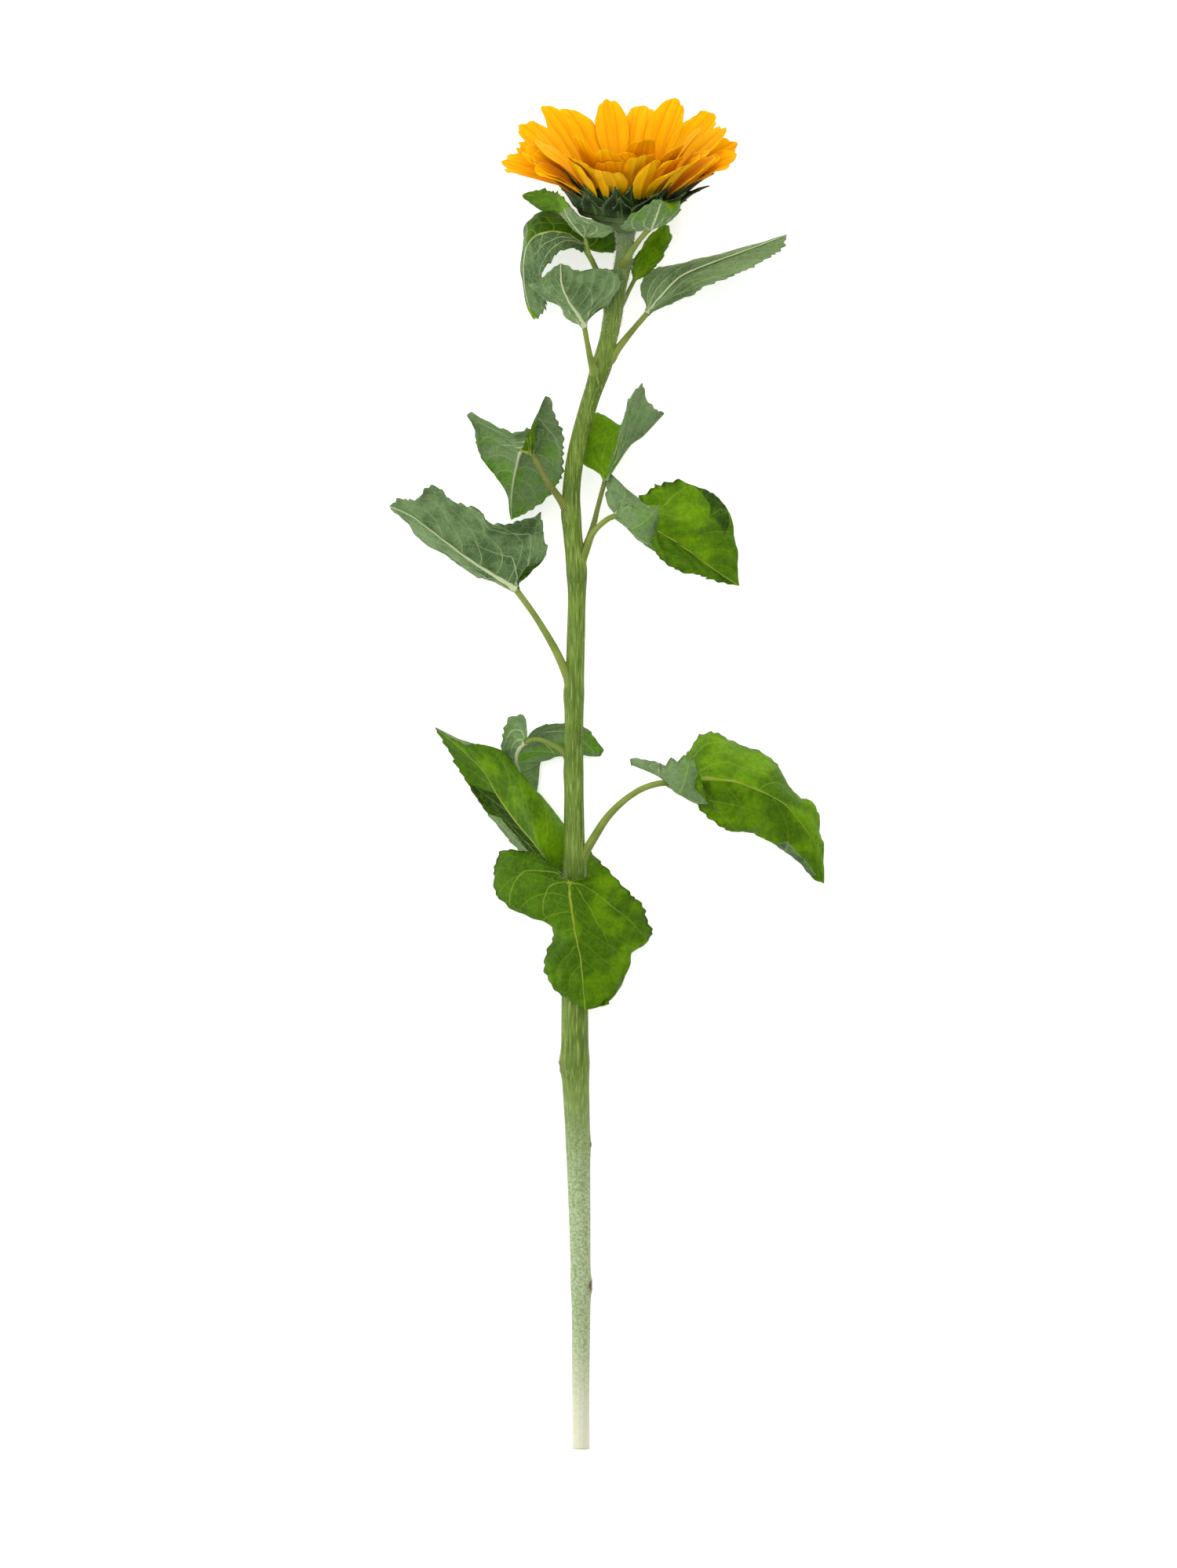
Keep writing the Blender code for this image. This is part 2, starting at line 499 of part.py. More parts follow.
# Ray petals stand in two rows. "foot" is the petal's foot as (radius, height) in the head's frame.
PETAL_ROWS = {
    "outer": dict(count=18, foot=(29.4, 1.4), length=42.5, width=16.0, rise=(34.0, 15.0),
                  raised=20.0, dropped=8.0, slant=3.0, turn=0.0),
    "inner": dict(count=16, foot=(27.9, 3.4), length=45.5, width=15.5, rise=(58.0, 38.0),
                  raised=7.0, dropped=0.0, slant=3.0, turn=0.5),
}
PETAL_COLUMNS = 2
PETAL_WIDTH_AT = (0.30, 0.62, 0.88, 1.0, 0.98, 0.78, 0.0)
PETAL_CHANNEL = 1.0         # how far a petal's edges stand above its middle
PETAL_STAGGER = 6.5         # degrees: every other petal of a row stands this much steeper, the rest flatter
PETAL_FACING_TWIST = 17.0   # degrees: the petals at either side turn their upper faces towards +Z
PETAL_SEED = 11


def radial_point(shape, share, sideways):
    """A point of a petal or bract in the head's frame. share runs foot to tip, sideways in mm."""
    near = max(0.0, -math.sin(shape["azimuth"]))
    far = max(0.0, math.sin(shape["azimuth"]))
    right = math.cos(shape["azimuth"])
    extra = shape["raised"] * near - shape["dropped"] * far + shape["slant"] * right
    foot, tip = [angle + extra for angle in shape["rise"]]
    radius, height = shape["foot"]
    steps = 12
    for i in range(steps):
        rise = math.radians(foot + (tip - foot) * (i + 0.5) / steps * share)
        radius += shape["length"] * share / steps * math.cos(rise)
        height += shape["length"] * share / steps * math.sin(rise)
    rise = math.radians(foot + (tip - foot) * share)
    twist = math.radians(shape.get("twist", 0.0))
    lift = sideways * math.sin(twist) + shape.get("channel", 0.0) * (2 * sideways / shape["width"]) ** 2
    radius -= lift * math.sin(rise)
    height += lift * math.cos(rise)
    azimuth = shape["azimuth"]
    out = Vector((math.cos(azimuth), math.sin(azimuth), 0.0))
    across = Vector((-out.y, out.x, 0.0))
    return out * radius + across * sideways * math.cos(twist) + Vector((0.0, 0.0, height))


def make_thin(name, work, thickness, collection, material, matrix):
    """The open surface in work, in the head's frame in millimetres, settled and given its thickness."""
    for vert in work.verts:
        vert.co = settled(matrix @ (vert.co * MM) / MM, thickness / 2) * MM
    bmesh.ops.remove_doubles(work, verts=work.verts, dist=1e-6)
    data = bpy.data.meshes.new(name)
    work.to_mesh(data)
    work.free()
    obj = add_object(name, data, collection, material)
    shell = obj.modifiers.new("thickness", "SOLIDIFY")
    shell.thickness = thickness * MM
    shell.offset = 0.0
    return obj


def make_crown(name, crown, collection, material, matrix):
    """A ring of bracts: a band that they grow from, and a pointed blade over each part of it."""
    lower, upper = crown["band"]
    total = crown["count"] * BRACT_COLUMNS
    work = bmesh.new()
    bands = []
    for radius, height in (lower, upper):
        band = []
        for i in range(total):
            angle = 2 * math.pi * (i / BRACT_COLUMNS + crown["turn"]) / crown["count"]
            band.append(work.verts.new((radius * math.cos(angle), radius * math.sin(angle), height)))
        bands.append(band)
    low, high = bands
    for i in range(total):
        after = (i + 1) % total
        work.faces.new((low[i], low[after], high[after], high[i]))
    width = 2 * math.pi * upper[0] / crown["count"]
    last = len(BRACT_WIDTH_AT) - 1
    for k in range(crown["count"]):
        shape = dict(crown, foot=upper, width=width)
        shape["azimuth"] = 2 * math.pi * (k + 0.5 + crown["turn"]) / crown["count"]
        row = [high[(k * BRACT_COLUMNS + c) % total] for c in range(BRACT_COLUMNS + 1)]
        for j in range(1, last):
            ahead = []
            for c in range(BRACT_COLUMNS + 1):
                sideways = width * BRACT_WIDTH_AT[j] * (c / BRACT_COLUMNS - 0.5)
                ahead.append(work.verts.new(radial_point(shape, j / last, sideways)))
            for c in range(BRACT_COLUMNS):
                work.faces.new((row[c], row[c + 1], ahead[c + 1], ahead[c]))
            row = ahead
        tip = work.verts.new(radial_point(shape, 1.0, 0.0))
        for c in range(BRACT_COLUMNS):
            work.faces.new((row[c], row[c + 1], tip))
    make_thin(name, work, BRACT_THICKNESS, collection, material, matrix)


def make_petal(name, shape, collection, material, matrix):
    """A thin channelled blade with a narrow foot and a blunt tip."""
    rows = len(PETAL_WIDTH_AT) - 1
    work = bmesh.new()
    bmesh.ops.create_grid(work, x_segments=PETAL_COLUMNS, y_segments=rows, size=1.0)
    for vert in work.verts:
        row = round((vert.co.y + 1) / 2 * rows)
        sideways = vert.co.x * shape["width"] / 2 * PETAL_WIDTH_AT[row]
        vert.co = radial_point(shape, row / rows, sideways)
    make_thin(name, work, PETAL_THICKNESS, collection, material, matrix)


def petal_shapes():
    """Each petal's name and shape, with the small differences that neighbours on one flower have."""
    vary = random.Random(PETAL_SEED)
    for row_name, row in PETAL_ROWS.items():
        for k in range(row["count"]):
            shape = dict(row, channel=PETAL_CHANNEL)
            shape["azimuth"] = 2 * math.pi * (k + row["turn"] + vary.uniform(-0.035, 0.035)) / row["count"]
            shape["length"] *= vary.uniform(0.95, 1.04)
            shape["width"] *= vary.uniform(0.93, 1.02)
            shape["twist"] = PETAL_FACING_TWIST * math.cos(shape["azimuth"]) + vary.uniform(-3.0, 3.0)
            bend = PETAL_STAGGER * (-1) ** k + vary.uniform(-1.5, 1.5)
            shape["rise"] = [angle + bend for angle in row["rise"]]
            yield f"petal_{row_name}_{k + 1:02d}", shape


def main():
    clear_scene()
    flower = collection_named("cut_sunflower")
    stem_green = material_named("stem", GREEN_STEM, 0.55)
    leaf_green = material_named("leaf", GREEN_LEAF, 0.5)
    bract_green = material_named("bract", GREEN_BRACT, 0.6)
    petal_yellow = material_named("petal", YELLOW_PETAL, 0.5)
    disc_brown = material_named("disc", BROWN_DISC, 0.8)

    make_stem(flower, stem_green)
    for name, leaf in LEAVES.items():
        make_leaf(name, leaf, flower, leaf_green)

    matrix = head_matrix()
    smooth(turned("receptacle", RECEPTACLE_PROFILE, TURN_STEPS, flower, bract_green, matrix))
    smooth(turned("disc", DISC_PROFILE, TURN_STEPS, flower, disc_brown, matrix))
    for name, crown in CROWNS.items():
        make_crown(name, crown, flower, bract_green, matrix)
    for name, shape in petal_shapes():
        make_petal(name, shape, flower, petal_yellow, matrix)


main()
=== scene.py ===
import math
import random

import bpy
import numpy as np
from mathutils import Matrix, Vector


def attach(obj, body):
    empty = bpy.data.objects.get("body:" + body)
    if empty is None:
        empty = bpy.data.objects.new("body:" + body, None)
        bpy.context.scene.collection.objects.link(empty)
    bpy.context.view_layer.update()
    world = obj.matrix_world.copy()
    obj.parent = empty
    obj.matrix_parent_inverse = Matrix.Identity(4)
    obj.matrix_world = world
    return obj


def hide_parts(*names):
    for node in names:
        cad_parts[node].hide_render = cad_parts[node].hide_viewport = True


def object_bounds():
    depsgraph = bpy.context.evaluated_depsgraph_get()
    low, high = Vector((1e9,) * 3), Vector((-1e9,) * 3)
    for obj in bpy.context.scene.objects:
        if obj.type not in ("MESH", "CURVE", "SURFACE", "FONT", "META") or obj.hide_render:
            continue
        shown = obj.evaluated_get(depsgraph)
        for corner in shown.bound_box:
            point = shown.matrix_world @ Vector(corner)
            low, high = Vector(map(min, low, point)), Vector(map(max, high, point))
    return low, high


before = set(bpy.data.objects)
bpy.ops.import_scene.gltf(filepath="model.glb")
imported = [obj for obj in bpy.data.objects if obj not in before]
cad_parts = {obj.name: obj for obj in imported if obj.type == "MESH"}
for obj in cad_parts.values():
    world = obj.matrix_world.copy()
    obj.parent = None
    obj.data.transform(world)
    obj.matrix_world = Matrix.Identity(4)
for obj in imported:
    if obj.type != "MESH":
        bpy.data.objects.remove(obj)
cad_low, cad_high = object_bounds()

# A cut sunflower that lies on a table, put together in the order of its growth: stem, receptacle,
# bracts, disc, petals and leaves, and then the fine hairs that cover it all.

# ---- Table, light and camera ----------------------------------------------------------------------
# A plain white table that glows faintly, so that the shadows on it are soft and pale, under large
# lamps. The camera hangs above the flower's middle and looks straight down from so far away that the
# head isn't drawn larger than the stem.

# Places are in mm, +Y up the stem and +Z up from the table, and become metres in the meshes.
MM = 0.001
TABLE_WIDTH = 12.0
TABLE_WHITE = 0.93
TABLE_GLOW = 0.5
SKY_STRENGTH = 0.52
VIEW_CENTRE = (-10.6, -4.7)
VIEW_HEIGHT = 899.6
LENS = 400.0
FILM_HEIGHT = 36.0
LEVEL_OF_FOCUS = 30.0

bpy.ops.object.select_all(action="DESELECT")
bpy.ops.mesh.primitive_plane_add(size=TABLE_WIDTH)
table = bpy.context.object
table.name = "table_top"
white = bpy.data.materials.new("white_table")
white.use_nodes = True
finish = white.node_tree.nodes["Principled BSDF"]
finish.inputs["Base Color"].default_value = (TABLE_WHITE, TABLE_WHITE, TABLE_WHITE, 1.0)
finish.inputs["Roughness"].default_value = 0.9
finish.inputs["Emission Color"].default_value = (1.0, 1.0, 1.0, 1.0)
finish.inputs["Emission Strength"].default_value = TABLE_GLOW
table.data.materials.append(white)


def soft_lamp(name, place, aim, size, power):
    """A square lamp of the given size and power in watts, turned towards aim. All in metres."""
    light = bpy.data.lights.new(name, "AREA")
    light.size = size
    light.energy = power
    lamp = bpy.data.objects.new(name, light)
    bpy.context.scene.collection.objects.link(lamp)
    lamp.location = place
    lamp.rotation_euler = (Vector(aim) - Vector(place)).to_track_quat("-Z", "Y").to_euler()


soft_lamp("lamp_overhead", (-0.5, 0.5, 2.2), (0.0, 0.0, 0.0), 2.0, 26.0)
soft_lamp("lamp_beyond_head", (0.5, 1.9, 0.9), (0.0, 0.2, 0.0), 1.2, 14.0)
soft_lamp("lamp_left", (-1.7, -0.3, 0.8), (0.0, 0.0, 0.0), 1.2, 9.0)
sky = bpy.data.worlds.new("studio")
sky.use_nodes = True
daylight = sky.node_tree.nodes["Background"]
daylight.inputs["Color"].default_value = (1.0, 1.0, 1.0, 1.0)
daylight.inputs["Strength"].default_value = SKY_STRENGTH
bpy.context.scene.world = sky

view = bpy.data.cameras.new("camera")
view.lens = LENS
view.sensor_width = FILM_HEIGHT
view.clip_end = 40.0
camera = bpy.data.objects.new("camera", view)
bpy.context.scene.collection.objects.link(camera)
distance = LEVEL_OF_FOCUS + VIEW_HEIGHT * LENS / FILM_HEIGHT
camera.location = (VIEW_CENTRE[0] * MM, VIEW_CENTRE[1] * MM, distance * MM)
bpy.context.scene.camera = camera
bpy.context.scene.view_settings.view_transform = "Standard"

# ---- Stem -----------------------------------------------------------------------------------------
# One green stalk with fine ribs along it, swollen where each leaf grew, paler and paler towards its cut
# end, where the pith shows. It is made as a skin rolled round the route that the stem takes.

# The route from the cut end to the neck: x, y, z and the stem's radius.
STEM_ROUTE = [
    (-15.0, -387.0, 5.0, 5.0), (-15.0, -345.0, 7.5, 5.0), (-15.0, -294.0, 11.0, 5.5),
    (-16.5, -215.0, 16.0, 6.8), (-18.2, -165.0, 19.2, 7.7), (-18.5, -110.0, 22.7, 7.2),
    (-18.6, -60.0, 26.0, 6.3), (-18.9, 0.0, 29.9, 5.3), (-18.7, 45.0, 32.8, 5.3),
    (-17.4, 95.0, 36.0, 5.0), (-17.6, 118.0, 37.5, 5.4), (-19.8, 140.0, 39.0, 5.2),
    (-20.5, 162.0, 40.3, 5.0), (-17.6, 185.0, 41.9, 4.9), (-11.0, 211.0, 43.5, 4.8),
    (-4.4, 231.0, 44.8, 5.0), (2.1, 256.0, 46.3, 4.9), (6.2, 279.0, 47.2, 4.6),
    (9.0, 293.0, 47.6, 4.5), (10.2, 302.0, 48.4, 4.6), (10.5, 307.4, 49.9, 4.9),
    (10.5, 311.9, 51.3, 5.5),
]
STEM_ROWS = 620
STEM_AROUND = 72
STEM_RIBS = 13
RIB_HEIGHT = 0.16
STEM_LOW = 0.3
NECK_TOP = 312.0
# Where a leaf grew: height up the stem, the side it is on in degrees (0 is +X, 90 is +Z), swelling.
NODES = [
    (-293.0, 20.0, 0.9), (-212.0, 10.0, 0.5), (-165.0, 170.0, 1.6), (-92.0, 90.0, 0.9),
    (-78.0, 200.0, 0.9), (-52.0, 40.0, 0.9), (2.0, 190.0, 0.6), (47.0, 160.0, 1.0),
    (117.0, 60.0, 1.1), (150.0, 150.0, 0.9), (229.0, 110.0, 1.0), (237.0, 0.0, 0.9),
    (262.0, 180.0, 0.6), (292.0, 70.0, 0.7),
]
SWELLING_REACH = 7.0
# Where a leaf broke off: height, side and radius of the scar.
SCARS = [(-293.0, 20.0, 3.2), (-167.0, 172.0, 2.4), (-212.0, 12.0, 1.6)]
# The cut end, from its middle out: shares of the radius, and how deep the pith has sunk there.
CUT_END = [(0.0, 0.9), (0.3, 0.85), (0.55, 0.75), (0.72, 0.6), (0.8, 0.1), (0.93, 0.0)]


def curve_points(points, shares):
    """Where shares (0 to 1) of the length fall on a smooth curve through points, one row for each."""
    points = np.array(points, float)
    steps = np.linalg.norm(np.diff(points[:, :3], axis=0), axis=1)
    stations = np.concatenate([[0.0], np.cumsum(steps)])
    target = np.clip(shares, 0.0, 1.0) * stations[-1]
    i = np.clip(np.searchsorted(stations, target) - 1, 0, len(points) - 2)
    t = ((target - stations[i]) / steps[i])[:, None]
    padded = np.concatenate([[2 * points[0] - points[1]], points, [2 * points[-1] - points[-2]]])
    before, a, b, after = padded[i], padded[i + 1], padded[i + 2], padded[i + 3]
    return 0.5 * (
        2 * a + (b - before) * t
        + (2 * before - 5 * a + 4 * b - after) * t ** 2
        + (3 * a - before - 3 * b + after) * t ** 3
    )


def unit(vectors):
    return vectors / np.maximum(np.linalg.norm(vectors, axis=-1, keepdims=True), 1e-9)


def smooth_step(low, high, values):
    t = np.clip((values - low) / (high - low), 0.0, 1.0)
    return t * t * (3 - 2 * t)


def wander(seed, places, reach):
    """Smooth random values between about -1 and 1, changing over the given reach."""
    draw = np.random.default_rng(seed).uniform(-1.0, 1.0, 512)
    spot = np.asarray(places, float) / reach + 200.0
    i = np.floor(spot).astype(int) % 511
    t = spot - np.floor(spot)
    t = t * t * (3 - 2 * t)
    return draw[i] * (1 - t) + draw[i + 1] * t


def rolled_skin(name, rings, fields, face_material=None):
    """A closed skin through rings, given in mm as rows x places round x 3: a grid rolled into a tube.

    A first or last ring whose places coincide shuts that end. fields are vectors kept for each place,
    and face_material is the number of each face's material, rows x round."""
    rows, around = rings.shape[:2]
    bpy.ops.object.select_all(action="DESELECT")
    bpy.ops.mesh.primitive_grid_add(x_subdivisions=around, y_subdivisions=rows - 1, size=2.0)
    piece = bpy.context.object
    piece.name = name
    mesh = piece.data
    mesh.name = name
    flat = np.empty((len(mesh.vertices), 3))
    mesh.vertices.foreach_get("co", flat.ravel())
    column = np.rint((flat[:, 0] + 1) / 2 * around).astype(int) % around
    row = np.rint((flat[:, 1] + 1) / 2 * (rows - 1)).astype(int)
    if face_material is not None:
        middle = np.empty((len(mesh.polygons), 3))
        mesh.polygons.foreach_get("center", middle.ravel())
        face_column = np.floor((middle[:, 0] + 1) / 2 * around).astype(int)
        face_row = np.floor((middle[:, 1] + 1) / 2 * (rows - 1)).astype(int)
        mesh.polygons.foreach_set("material_index", face_material[face_row, face_column])
    for field, values in fields.items():
        kept = mesh.attributes.new(field, "FLOAT_VECTOR", "POINT")
        kept.data.foreach_set("vector", values[row, column].ravel())
    mesh.vertices.foreach_set("co", (rings[row, column] * MM).ravel())
    mesh.update()
    bpy.ops.object.mode_set(mode="EDIT")
    bpy.ops.mesh.select_all(action="SELECT")
    bpy.ops.mesh.remove_doubles(threshold=0.000001)
    bpy.ops.mesh.normals_make_consistent(inside=False)
    bpy.ops.object.mode_set(mode="OBJECT")
    bpy.ops.object.shade_smooth()
    return piece


def frames_along(centres, first_up):
    """Ahead, left and up along a route, turning with it without twisting, starting near first_up."""
    ahead = unit(np.gradient(centres, axis=0))
    ups = []
    up = np.array(first_up, float)
    for direction in ahead:
        up = unit(up - direction * up.dot(direction))
        ups.append(up)
    ups = np.array(ups)
    return ahead, np.cross(ups, ahead), ups


stem_share = np.linspace(0.0, 1.0, STEM_ROWS)
stem_line = curve_points(STEM_ROUTE, stem_share)
stem_centres, stem_radius = stem_line[:, :3], stem_line[:, 3]
stem_heights = stem_centres[:, 1]
ahead, left, up = frames_along(stem_centres, (0.0, 0.0, 1.0))
angle = np.arange(STEM_AROUND) * 2 * math.pi / STEM_AROUND
drift = 0.5 * wander(3, stem_heights, 160.0)[:, None]
ribs = np.cos((angle + drift) * STEM_RIBS) + 0.5 * np.cos((angle - drift) * STEM_RIBS * 2.0 + 1.0)
rib_strength = 0.55 + 0.45 * smooth_step(-340.0, -120.0, stem_heights)
stem_skin = stem_radius[:, None] + RIB_HEIGHT * ribs * rib_strength[:, None]
for height, side, swelling in NODES:
    along = np.exp(-((stem_heights - height) / SWELLING_REACH) ** 2)
    about = 0.35 + 0.65 * np.clip(np.cos(angle - math.radians(side)), 0.0, 1.0) ** 2
    stem_skin += swelling * along[:, None] * about[None, :]
scar_mask = np.zeros_like(stem_skin)
for height, side, size in SCARS:
    away = (angle - math.radians(side) + math.pi) % (2 * math.pi) - math.pi
    reach = np.hypot((stem_heights - height)[:, None] / size, away[None, :] * 6.0 / size)
    scar = np.exp(-reach ** 4)
    scar_mask = np.maximum(scar_mask, scar)
    stem_skin += 0.5 * np.exp(-((reach - 1.1) / 0.35) ** 2) - 0.45 * scar
round_way = (
    -left[:, None, :] * np.cos(angle)[None, :, None] + up[:, None, :] * np.sin(angle)[None, :, None]
)
stem_rings = stem_centres[:, None, :] + round_way * stem_skin[:, :, None]
cut_rings = [
    stem_centres[0] + round_way[0] * (stem_skin[0] * share)[:, None] + ahead[0] * depth
    for share, depth in CUT_END
]
neck_ring = np.repeat(stem_centres[-1][None, :], STEM_AROUND, axis=0)
stem_rings = np.concatenate([cut_rings, stem_rings, [neck_ring]])
stem_rings[:, :, 1] = np.maximum(stem_rings[:, :, 1], cad_low[1] / MM)
stem_rings[:, :, 2] = np.maximum(stem_rings[:, :, 2], STEM_LOW)
cut_rows = len(cut_rings)
stem_place = np.zeros(stem_rings.shape)
# "place" keeps the height in mm, then the angle, or on the cut the share of the radius less 2, and the
# scars.
stem_place[:, :, 0] = stem_rings[:, :, 1]
stem_place[:cut_rows, :, 1] = np.array([share for share, _ in CUT_END])[:, None] - 2.0
stem_place[cut_rows:-1, :, 1] = angle[None, :]
stem_place[cut_rows:-1, :, 2] = scar_mask
stem_faces = np.zeros((len(stem_rings) - 1, STEM_AROUND), int)
stem_faces[:cut_rows - 1] = 1
stem = rolled_skin("stem_skin", stem_rings, {"place": stem_place}, stem_faces)


def set_inputs(tree, made, values):
    """Sets a node's inputs, each to a number, a colour or another node's socket."""
    for name, value in values.items():
        if isinstance(value, bpy.types.NodeSocket):
            tree.links.new(value, made.inputs[name])
        else:
            made.inputs[name].default_value = value
    return made


def node(tree, kind, values=None, **settings):
    made = tree.nodes.new("ShaderNode" + kind)
    for name, setting in settings.items():
        setattr(made, name, setting)
    return set_inputs(tree, made, values or {})


def use_group(tree, group, values):
    made = tree.nodes.new("ShaderNodeGroup")
    made.node_tree = group
    return set_inputs(tree, made, values).outputs


def attribute(tree, name):
    return node(tree, "Attribute", attribute_name=name).outputs["Vector"]


def parts_of(tree, vector):
    return node(tree, "SeparateXYZ", {"Vector": vector}).outputs


def own_space(tree):
    return node(tree, "TexCoord").outputs["Object"]


def noise(tree, place, scale, detail):
    return node(tree, "TexNoise", {"Vector": place, "Scale": scale, "Detail": detail}).outputs["Fac"]


def math_node(tree, operation, first, second=0.0):
    return node(tree, "Math", {0: first, 1: second}, operation=operation).outputs[0]


def product(tree, first, second):
    return math_node(tree, "MULTIPLY", first, second)


def spread(tree, value, low, high, to_low=0.0, to_high=1.0):
    """value mapped smoothly from low..high to to_low..to_high."""
    ends = {"From Min": low, "From Max": high, "To Min": to_low, "To Max": to_high}
    made = node(tree, "MapRange", {"Value": value, **ends}, interpolation_type="SMOOTHSTEP")
    return made.outputs["Result"]


def colour(red, green, blue):
    """A colour as it looks, 0 to 255 each, as the light it stands for."""
    seen = [c / 255 for c in (red, green, blue)]
    return (*[c / 12.92 if c < 0.0404 else ((c + 0.055) / 1.055) ** 2.4 for c in seen], 1.0)


def blend_colours(tree, share, first, second):
    return node(tree, "Mix", {0: share, 6: first, 7: second}, data_type="RGBA").outputs[2]


def layered(tree, skin, *layers):
    """A colour with others laid over it in turn, each given as (share, colour)."""
    for share, tint in layers:
        skin = blend_colours(tree, share, skin, colour(*tint))
    return skin


def own_material(name):
    """An empty material and its tree."""
    made = bpy.data.materials.new(name)
    made.use_nodes = True
    made.node_tree.nodes.clear()
    return made, made.node_tree


def surface(tree, skin, rough, relief=None, shine=0.5, through=None):
    """Closes a material. relief is a bump's strength, its depth in metres and its height, and through
    is the share and the colour of the light that comes through from behind."""
    shade = node(tree, "BsdfPrincipled", {
        "Base Color": skin, "Roughness": rough, "Specular IOR Level": shine,
    })
    shader = shade.outputs[0]
    if relief:
        strength, depth, height = relief
        bump = node(tree, "Bump", {"Strength": strength, "Distance": depth, "Height": height})
        tree.links.new(bump.outputs[0], shade.inputs["Normal"])
    if through:
        share, lit = through
        behind = node(tree, "BsdfTranslucent", {"Color": lit, "Normal": bump.outputs[0]})
        shader = node(tree, "MixShader", {0: share, 1: shader, 2: behind.outputs[0]}).outputs[0]
    out = tree.nodes.new("ShaderNodeOutputMaterial")
    tree.links.new(shader, out.inputs[0])


def value_group(name, inputs, outputs):
    """A new node group: its tree, its inputs and its output node."""
    group = bpy.data.node_groups.new(name, "ShaderNodeTree")
    for way, sockets in (("INPUT", inputs), ("OUTPUT", outputs)):
        for socket, kind in sockets.items():
            group.interface.new_socket(socket, in_out=way, socket_type="NodeSocket" + kind)
    return group, group.nodes.new("NodeGroupInput").outputs, group.nodes.new("NodeGroupOutput")


def uneven_growth():
    """A slow and a fine variation in space, each about 0 to 1."""
    group, given, put = value_group(
        "uneven_growth", {"Place": "Vector", "Coarse": "Float", "Fine": "Float"},
        {"Slow": "Float", "Speckle": "Float"},
    )
    set_inputs(group, put, {
        "Slow": spread(group, noise(group, given["Place"], given["Coarse"], 3.0), 0.3, 0.7),
        "Speckle": spread(group, noise(group, given["Place"], given["Fine"], 4.0), 0.32, 0.68),
    })
    return group


growth = uneven_growth()


def growth_on(tree, spot, coarse, fine):
    """The slow and the fine variation of growth. coarse and fine are patches in a metre."""
    return use_group(tree, growth, {"Place": spot, "Coarse": coarse, "Fine": fine})


def stem_green():
    """Olive skin with pale and dark fibres, flecked white low down and cream at the cut end."""
    made, tree = own_material("stem_skin")
    place = parts_of(tree, attribute(tree, "place"))
    up_stem = place["X"]
    spot = own_space(tree)
    slow, speckle = growth_on(tree, spot, 38.0, 700.0)
    stretched = node(tree, "Mapping", {"Vector": spot, "Scale": (1300.0, 60.0, 1300.0)}).outputs[0]
    fibres = noise(tree, stretched, 1.0, 3.0)
    skin = layered(
        tree, blend_colours(tree, slow, colour(84, 112, 26), colour(112, 138, 44)),
        (spread(tree, fibres, 0.5, 0.72, 0.0, 0.7), (160, 180, 96)),
        (spread(tree, fibres, 0.49, 0.28, 0.0, 0.75), (70, 80, 14)),
        (spread(tree, up_stem, -140.0, -270.0, 0.0, 0.75), (146, 166, 104)),
        (product(tree, spread(tree, up_stem, -175.0, -250.0, 0.0, 0.52), speckle), (214, 224, 200)),
        (spread(tree, up_stem, -310.0, -384.0, 0.0, 0.85), (230, 228, 202)),
        (spread(tree, up_stem, 262.0, NECK_TOP, 0.0, 0.75), (122, 144, 96)),
        (place["Z"], (88, 56, 26)),
    )
    height = math_node(tree, "ADD", fibres, product(tree, speckle, 0.5))
    surface(tree, skin, spread(tree, fibres, 0.3, 0.7, 0.42, 0.62), (0.35, 0.0002, height), 0.25)
    return made


def cut_pith():
    """The open end: a wet green ring of wood round white foam-like pith."""
    made, tree = own_material("cut_pith")
    across = math_node(tree, "ADD", parts_of(tree, attribute(tree, "place"))["Y"], 2.0)
    cells = node(tree, "TexVoronoi", {"Vector": own_space(tree), "Scale": 1900.0}).outputs["Distance"]
    pith = blend_colours(tree, cells, colour(244, 240, 222), colour(214, 204, 170))
    wood = (spread(tree, across, 0.66, 0.8), (176, 182, 120))
    surface(tree, layered(tree, pith, wood), 0.75, (0.6, 0.0003, cells))
    return made


stem.data.materials.append(stem_green())
stem.data.materials.append(cut_pith())
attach(stem, "root")
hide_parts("stem")

# ---- Receptacle -----------------------------------------------------------------------------------
# The swollen green top of the stem that carries the flower: a shallow bowl, downy on the outside. It
# is turned about the head's axis, which leans up from the table, and the whole head is set out on it.
HEAD_CENTRE = np.array([10.5, 337.0, 59.0])
HEAD_LEAN_UP = 17.0
RECEPTACLE_PROFILE = [
    (0.0, -0.7), (15.0, -0.7), (26.0, -0.7), (26.9, -1.8), (27.0, -4.5), (25.6, -9.5), (21.6, -16.0),
    (15.0, -21.0), (8.5, -24.0), (5.9, -25.4), (5.2, -27.0), (0.0, -27.0),
]
head_turn = np.array(Matrix.Rotation(math.radians(HEAD_LEAN_UP - 90.0), 3, "X"))


def from_head(points):
    """Points of the head's own frame, +Z along its axis from the rim's middle, as places in mm."""
    return np.asarray(points) @ head_turn.T + HEAD_CENTRE


def turned_rings(profile, rows, around):
    """Rings of a turned shape through a smooth profile of (radius, height), in the head's frame."""
    line = curve_points([(r, 0.0, z) for r, z in profile], np.linspace(0.0, 1.0, rows))
    angle = np.arange(around) * 2 * math.pi / around
    radius = np.maximum(line[:, 0], 0.0)[:, None]
    radius[[0, -1]] = 0.0
    return np.stack(
        [radius * np.cos(angle), radius * np.sin(angle), np.repeat(line[:, 2:3], around, axis=1)], axis=2
    )


